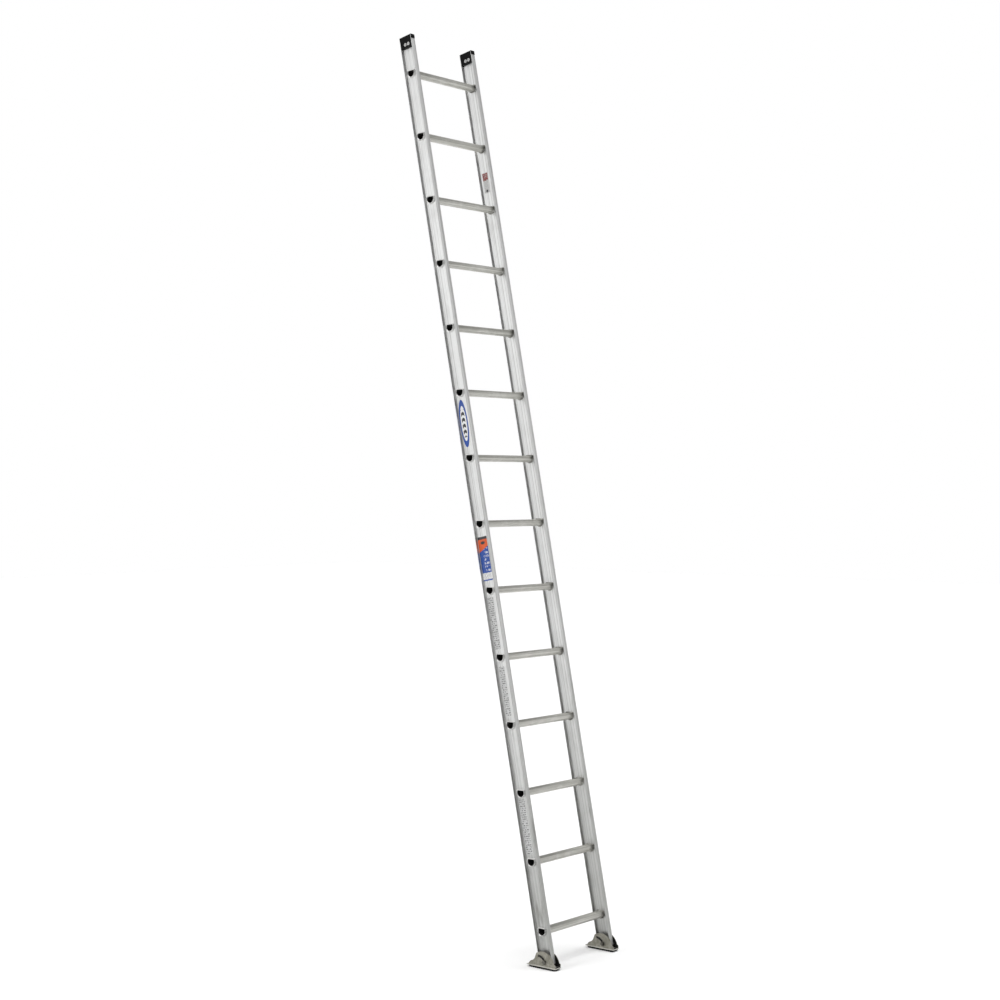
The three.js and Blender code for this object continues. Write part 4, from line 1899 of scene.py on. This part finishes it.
    def build(self, metal: ShoeMetal, rubber: TreadRubber, rivet_metal: BrightMetal) -> list[Thing]:
        """Models one shoe, pad and rivet, copies them to both sides and dresses them.

        Args:
            metal: The channels' finish.
            rubber: The pads' finish.
            rivet_metal: The rivets' finish.

        Returns:
            Both shoes with their pads and rivets.
        """
        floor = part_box("left_shoe")[0].z
        # The shoe's second material is a near-black painted shade for its inner faces and slots.
        shoe = dress(self.build_shoe(floor), metal.material(), metal.inside())
        self.darken_inside(shoe, floor)
        pad = dress(self.build_pad(), rubber.material())
        rivet = dress(self.build_rivet(), rivet_metal.material())
        things = []
        for side in Side:
            body = f"{side.word}_shoe_set"
            where = Matrix.Translation(self.corner(side))
            for source, node, slot in (
                (shoe, f"{side.word}_shoe", "shoe_aluminium"),
                (pad, f"{side.word}_shoe_pad", "black_rubber"),
            ):
                thing = Bench.place(Bench.copy(source, f"{node}_piece"), where)
                things.append(finish_piece(thing, body, [node]))
            for i in (1, 2, 3):
                node = f"{side.word}_pad_rivet_{i}"
                at = middle_of(node)
                spot = Matrix.Translation((at.x, at.y, 0))
                thing = Bench.place(Bench.copy(rivet, f"{node}_piece"), spot)
                things.append(finish_piece(thing, body, [node]))
        for source in (shoe, pad, rivet):
            bpy.data.objects.remove(source)
        return things


@dataclass
class ShoeBolts:
    """The hexagonal bolt of each shoe, with its nut, washers and spacers."""

    shank: float = 0.0049
    across: float = 0.016
    head: float = 0.005
    washer: float = 0.010
    spacer: float = 0.008
    chamfer: float = 0.0013
    thread_pitch: float = 0.00125
    thread_root: float = 0.9
    thread_end: float = 0.0002
    overlap: float = 0.001
    bore_length: float = 0.02
    washer_chamfer: float = 0.0003
    spacer_chamfer: float = 0.0004

    def build_hexagon(self, name: str, low: float, high: float, at: Vector) -> Thing:
        """Models a chamfered hexagon along X, from the part that a turned rod shares with it.

        Args:
            name: The object's name.
            low: Where it starts along X.
            high: Where it ends along X.
            at: A point on its axis.

        Returns:
            The new object.
        """
        corner = self.across / 2 / math.cos(math.pi / 6)
        centre = ((low + high) / 2, at.y, at.z)
        block = Bench.rod(name, centre, corner, high - low, 6)
        turned = Bench.rod("turned", centre, corner, high - low, 64)
        with Bench.edit(turned) as work:
            work.edges(lambda a, b: abs(a.x - b.x) < SPECK)
            work.bevel(self.chamfer, 2)
        Bench.combine(block, [turned], "INTERSECT")
        return block

    def build_bolt(self, side: Side, at: Vector) -> Thing:
        """Models one bolt with a chamfered head and a threaded tail.

        Args:
            side: Which rail it belongs to.
            at: A point on its axis.

        Returns:
            The bolt, in its place.
        """
        low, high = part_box(f"{side.word}_shoe_bolt")
        way = side.value
        head_end = high.x if way > 0 else low.x
        tail_end = low.x if way > 0 else high.x
        neck = head_end - way * self.head
        bolt = self.build_hexagon(f"{side.word}_shoe_bolt_hex", min(neck, head_end), max(neck, head_end), at)
        start = neck + way * self.overlap
        nut_low, nut_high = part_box(f"{side.word}_shoe_nut")
        thread_from = nut_high.x if way > 0 else nut_low.x
        plain = abs(thread_from - start)
        rod = Bench.rod("shank", ((start + thread_from) / 2, at.y, at.z), self.shank, plain, 40)
        turns = int(abs(tail_end - thread_from) / self.thread_pitch)
        pitch = (abs(tail_end - thread_from) - self.thread_end) / turns
        with Bench.edit(rod) as work:
            work.faces(lambda p, n: n.x * way < -FACING)
            for i in range(turns):
                for factor in (self.thread_root, 1 / self.thread_root):
                    work.extrude((-way * pitch / 2, 0, 0))
                    last = i == turns - 1 and factor > 1
                    if not last:
                        work.scale((1, factor, factor), (0, at.y, at.z))
        Bench.combine(bolt, [rod], "UNION")
        return Bench.smooth(bolt, 25)

    def build(self, axes: RailAxes, zinc: BrightMetal) -> list[Thing]:
        """Models both bolts and all that is threaded on them, and dresses them.

        Args:
            axes: The leaning axes, whose origin is level with the bolts.
            zinc: The finish of all of them.

        Returns:
            The bolts, nuts, washers and spacers.
        """
        material = zinc.material()
        things = []
        for side in Side:
            at = axes.origin
            word, body = side.word, f"{side.word}_shoe_bolt_set"
            bolt = dress(self.build_bolt(side, at), material)
            things.append(finish_piece(bolt, body, [f"{word}_shoe_bolt"]))
            low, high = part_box(f"{word}_shoe_nut")
            nut = self.build_hexagon(f"{word}_shoe_nut_hex", low.x, high.x, at)
            centre = ((low.x + high.x) / 2, at.y, at.z)
            bore = Bench.rod("bore", centre, self.shank + FIT_GAP, self.bore_length, 40)
            Bench.combine(nut, [bore], "DIFFERENCE")
            Bench.smooth(dress(nut, material), 30)
            things.append(finish_piece(nut, body, [f"{word}_shoe_nut"]))
            for kind, radius, chamfer in (
                ("washer", self.washer, self.washer_chamfer), ("spacer", self.spacer, self.spacer_chamfer),
            ):
                for place in ("outer", "inner"):
                    node = f"{word}_{kind}_{place}"
                    low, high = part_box(node)
                    centre = Vector(((low.x + high.x) / 2, at.y, at.z))
                    ring = Bench.tube(
                        f"{node}_turned", centre, radius, self.shank + FIT_GAP, high.x - low.x, chamfer
                    )
                    things.append(finish_piece(dress(ring, material), body, [node]))
        return things


@dataclass
class LabelSet:
    """The thin films on the webs."""

    axes: RailAxes
    corner: float = 0.0025
    arris: float = 0.00008
    films: dict[str, Film] = field(default_factory=lambda: {
        "label_oval": Film.OVAL,
        "label_duty": Film.DUTY,
        "label_notice_upper": Film.NOTICE,
        "label_notice_middle": Film.NOTICE,
        "label_notice_lower": Film.NOTICE,
        "label_inner": Film.INNER,
    })

    def build_label(self, node: str, film: Film) -> Thing:
        """Models one label: a thin plate with round corners, or a thin oval.

        Args:
            node: The label's node name.
            film: What is printed on it.

        Returns:
            The label, in its place.
        """
        low, high = self.axes.box(node)
        middle, size = (low + high) / 2, high - low
        if film is Film.OVAL:
            label = Bench.ring(f"{node}_plate", (low.x, middle.y, middle.z), size.y / 2, 96, True)
            with Bench.edit(label) as work:
                work.everything()
                work.scale((1, 1, size.z / size.y), middle)
                work.extrude((size.x, 0, 0))
                work.tidy()
        else:
            label = Bench.box(f"{node}_plate", low, high)
            with Bench.edit(label) as work:
                work.edges(lambda a, b: abs(a.x - b.x) > size.x / 2)
                work.bevel(self.corner, 6)
                work.tidy()
        Bench.round_edges(label, self.arris, 2, 40)
        Bench.place(label, self.axes.matrix)
        print_film = PrintedFilm(film, size.y, size.z)
        return Bench.smooth(dress(label, print_film.material(self.axes, middle, node)), 30)

    def build(self) -> list[Thing]:
        """Models and dresses every label.

        Returns:
            The labels.
        """
        return [
            finish_piece(self.build_label(node, film), "ladder", [node])
            for node, film in self.films.items()
        ]


@dataclass
class Studio:
    """The camera, the pale floor and the soft lights."""

    eye: tuple[float, float, float] = (-6.5878, -5.4044, 2.1308)
    heading: float = math.radians(50.417)
    tilt: float = math.radians(-0.476)
    roll: float = math.radians(-0.063)
    lens: float = 66.36
    sensor: float = 36.0
    sees_to: float = 200.0
    floor_size: float = 60.0
    floor_drop: float = 0.0005
    key_place: tuple[float, float, float] = (-7.5, 3.0, 4.5)
    key_size: float = 3.0
    key_power: float = 105
    fill_place: tuple[float, float, float] = (5.5, -5.5, 4.0)
    fill_size: float = 4.0
    fill_power: float = 8
    sun_power: float = 2.6
    sun_spread: float = math.radians(60)
    surround: dict[str, float] = field(default_factory=lambda: {
        "From Min": 0.0, "From Max": 0.9, "To Min": 0.72, "To Max": 0.02,
    })

    def add_camera(self) -> None:
        """Adds the camera with its heading from +Y towards +X, its tilt and its roll."""
        ahead = Vector((
            math.sin(self.heading) * math.cos(self.tilt),
            math.cos(self.heading) * math.cos(self.tilt),
            math.sin(self.tilt),
        ))
        right = Vector((math.cos(self.heading), -math.sin(self.heading), 0))
        up = right.cross(ahead)
        across = right * math.cos(self.roll) + up * math.sin(self.roll)
        upward = up * math.cos(self.roll) - right * math.sin(self.roll)
        data = bpy.data.cameras.new("camera")
        data.lens = self.lens
        data.sensor_width = self.sensor
        data.clip_end = self.sees_to
        camera = bpy.data.objects.new("camera", data)
        turn = Matrix((across, upward, -ahead)).transposed().to_4x4()
        camera.matrix_world = Matrix.Translation(self.eye) @ turn
        bpy.context.scene.collection.objects.link(camera)
        bpy.context.scene.camera = camera

    def add_light(self, name: str, place: Vector, target: Vector, size: float, power: float) -> None:
        """Adds one square soft light that looks at a target.

        Args:
            name: The light's name.
            place: Where it stands.
            target: What it looks at.
            size: The length of its side.
            power: Its power in watts.
        """
        data = bpy.data.lights.new(name, "AREA")
        data.size = size
        data.energy = power
        light = bpy.data.objects.new(name, data)
        turn = (target - place).to_track_quat("-Z", "Y").to_matrix().to_4x4()
        light.matrix_world = Matrix.Translation(place) @ turn
        bpy.context.scene.collection.objects.link(light)

    def add_sun(self) -> None:
        """Adds a wide overhead light that keeps the floor as pale as the surround."""
        data = bpy.data.lights.new("overhead", "SUN")
        data.energy = self.sun_power
        data.angle = self.sun_spread
        light = bpy.data.objects.new("overhead", data)
        bpy.context.scene.collection.objects.link(light)

    def add_floor(self, paint: StudioPaint) -> None:
        """Adds the floor, a wide plane.

        Args:
            paint: The floor's finish.
        """
        bpy.ops.object.select_all(action="DESELECT")
        bpy.ops.mesh.primitive_plane_add(size=self.floor_size, location=(0, 0, -self.floor_drop))
        floor = Bench.settle("studio_floor")
        dress(floor, paint.material())

    def add_world(self) -> None:
        """Adds a white surround whose light darkens in front of the ladder and behind it."""
        world = bpy.data.worlds.new("studio")
        bpy.context.scene.world = world
        world.use_nodes = True
        sky = NodeTree(world.node_tree)
        back = (-math.sin(self.heading), -math.cos(self.heading), 0.0)
        place = sky.node("ShaderNodeTexCoord").outputs["Generated"]
        toward = sky.node("ShaderNodeVectorMath", {"operation": "DOT_PRODUCT"}, {0: place, 1: back})
        either = sky.node("ShaderNodeMath", {"operation": "ABSOLUTE"}, {0: toward.outputs["Value"]})
        fall = sky.node(
            "ShaderNodeMapRange",
            {"interpolation_type": "SMOOTHSTEP"},
            {**self.surround, "Value": either.outputs["Value"]},
        )
        direct = sky.node("ShaderNodeLightPath").outputs["Is Camera Ray"]
        strength = sky.node(
            "ShaderNodeMix", inputs={"Factor": direct, "A": fall.outputs["Result"], "B": 1.0}
        )
        background = sky.tree.nodes["Background"]
        background.inputs["Color"].default_value = (1.0, 1.0, 1.0, 1)
        sky.tree.links.new(strength.outputs["Result"], background.inputs["Strength"])

    def build(self) -> None:
        """Sets up everything round the ladder."""
        self.add_camera()
        self.add_world()
        self.add_floor(StudioPaint())
        middle = (CAD_BOX[0] + CAD_BOX[1]) / 2
        self.add_light("key", Vector(self.key_place), middle, self.key_size, self.key_power)
        self.add_light("fill", Vector(self.fill_place), middle, self.fill_size, self.fill_power)
        self.add_sun()
        LOG.info("studio is set up")


def main() -> None:
    """Builds the studio and every sub-assembly in order."""
    logging.basicConfig(level=logging.INFO, format="%(name)s: %(message)s")
    bpy.context.scene.view_settings.view_transform = "Standard"
    axes = RailAxes.measured()
    Studio().build()
    rungs = RungSet()
    rails = RailPair(axes)
    rivet = BrightMetal(
        name="rivet_aluminium_bright", bright=(0.58, 0.58, 0.58), dull=(0.40, 0.40, 0.39), roughness=0.30
    )
    zinc = BrightMetal(
        name="zinc_plated_steel", bright=(0.20, 0.195, 0.17), dull=(0.09, 0.087, 0.075),
        roughness=0.42, rust=0.4,
    )
    rungs.build(RungMetal())
    rails.build(rungs, RailMetal())
    EndCaps(axes, rails).build(MouldedPlastic(), rivet)
    ShoePair(axes).build(ShoeMetal(), TreadRubber(), rivet)
    ShoeBolts().build(axes, zinc)
    LabelSet(axes).build()


if __name__ == "__main__":
    main()
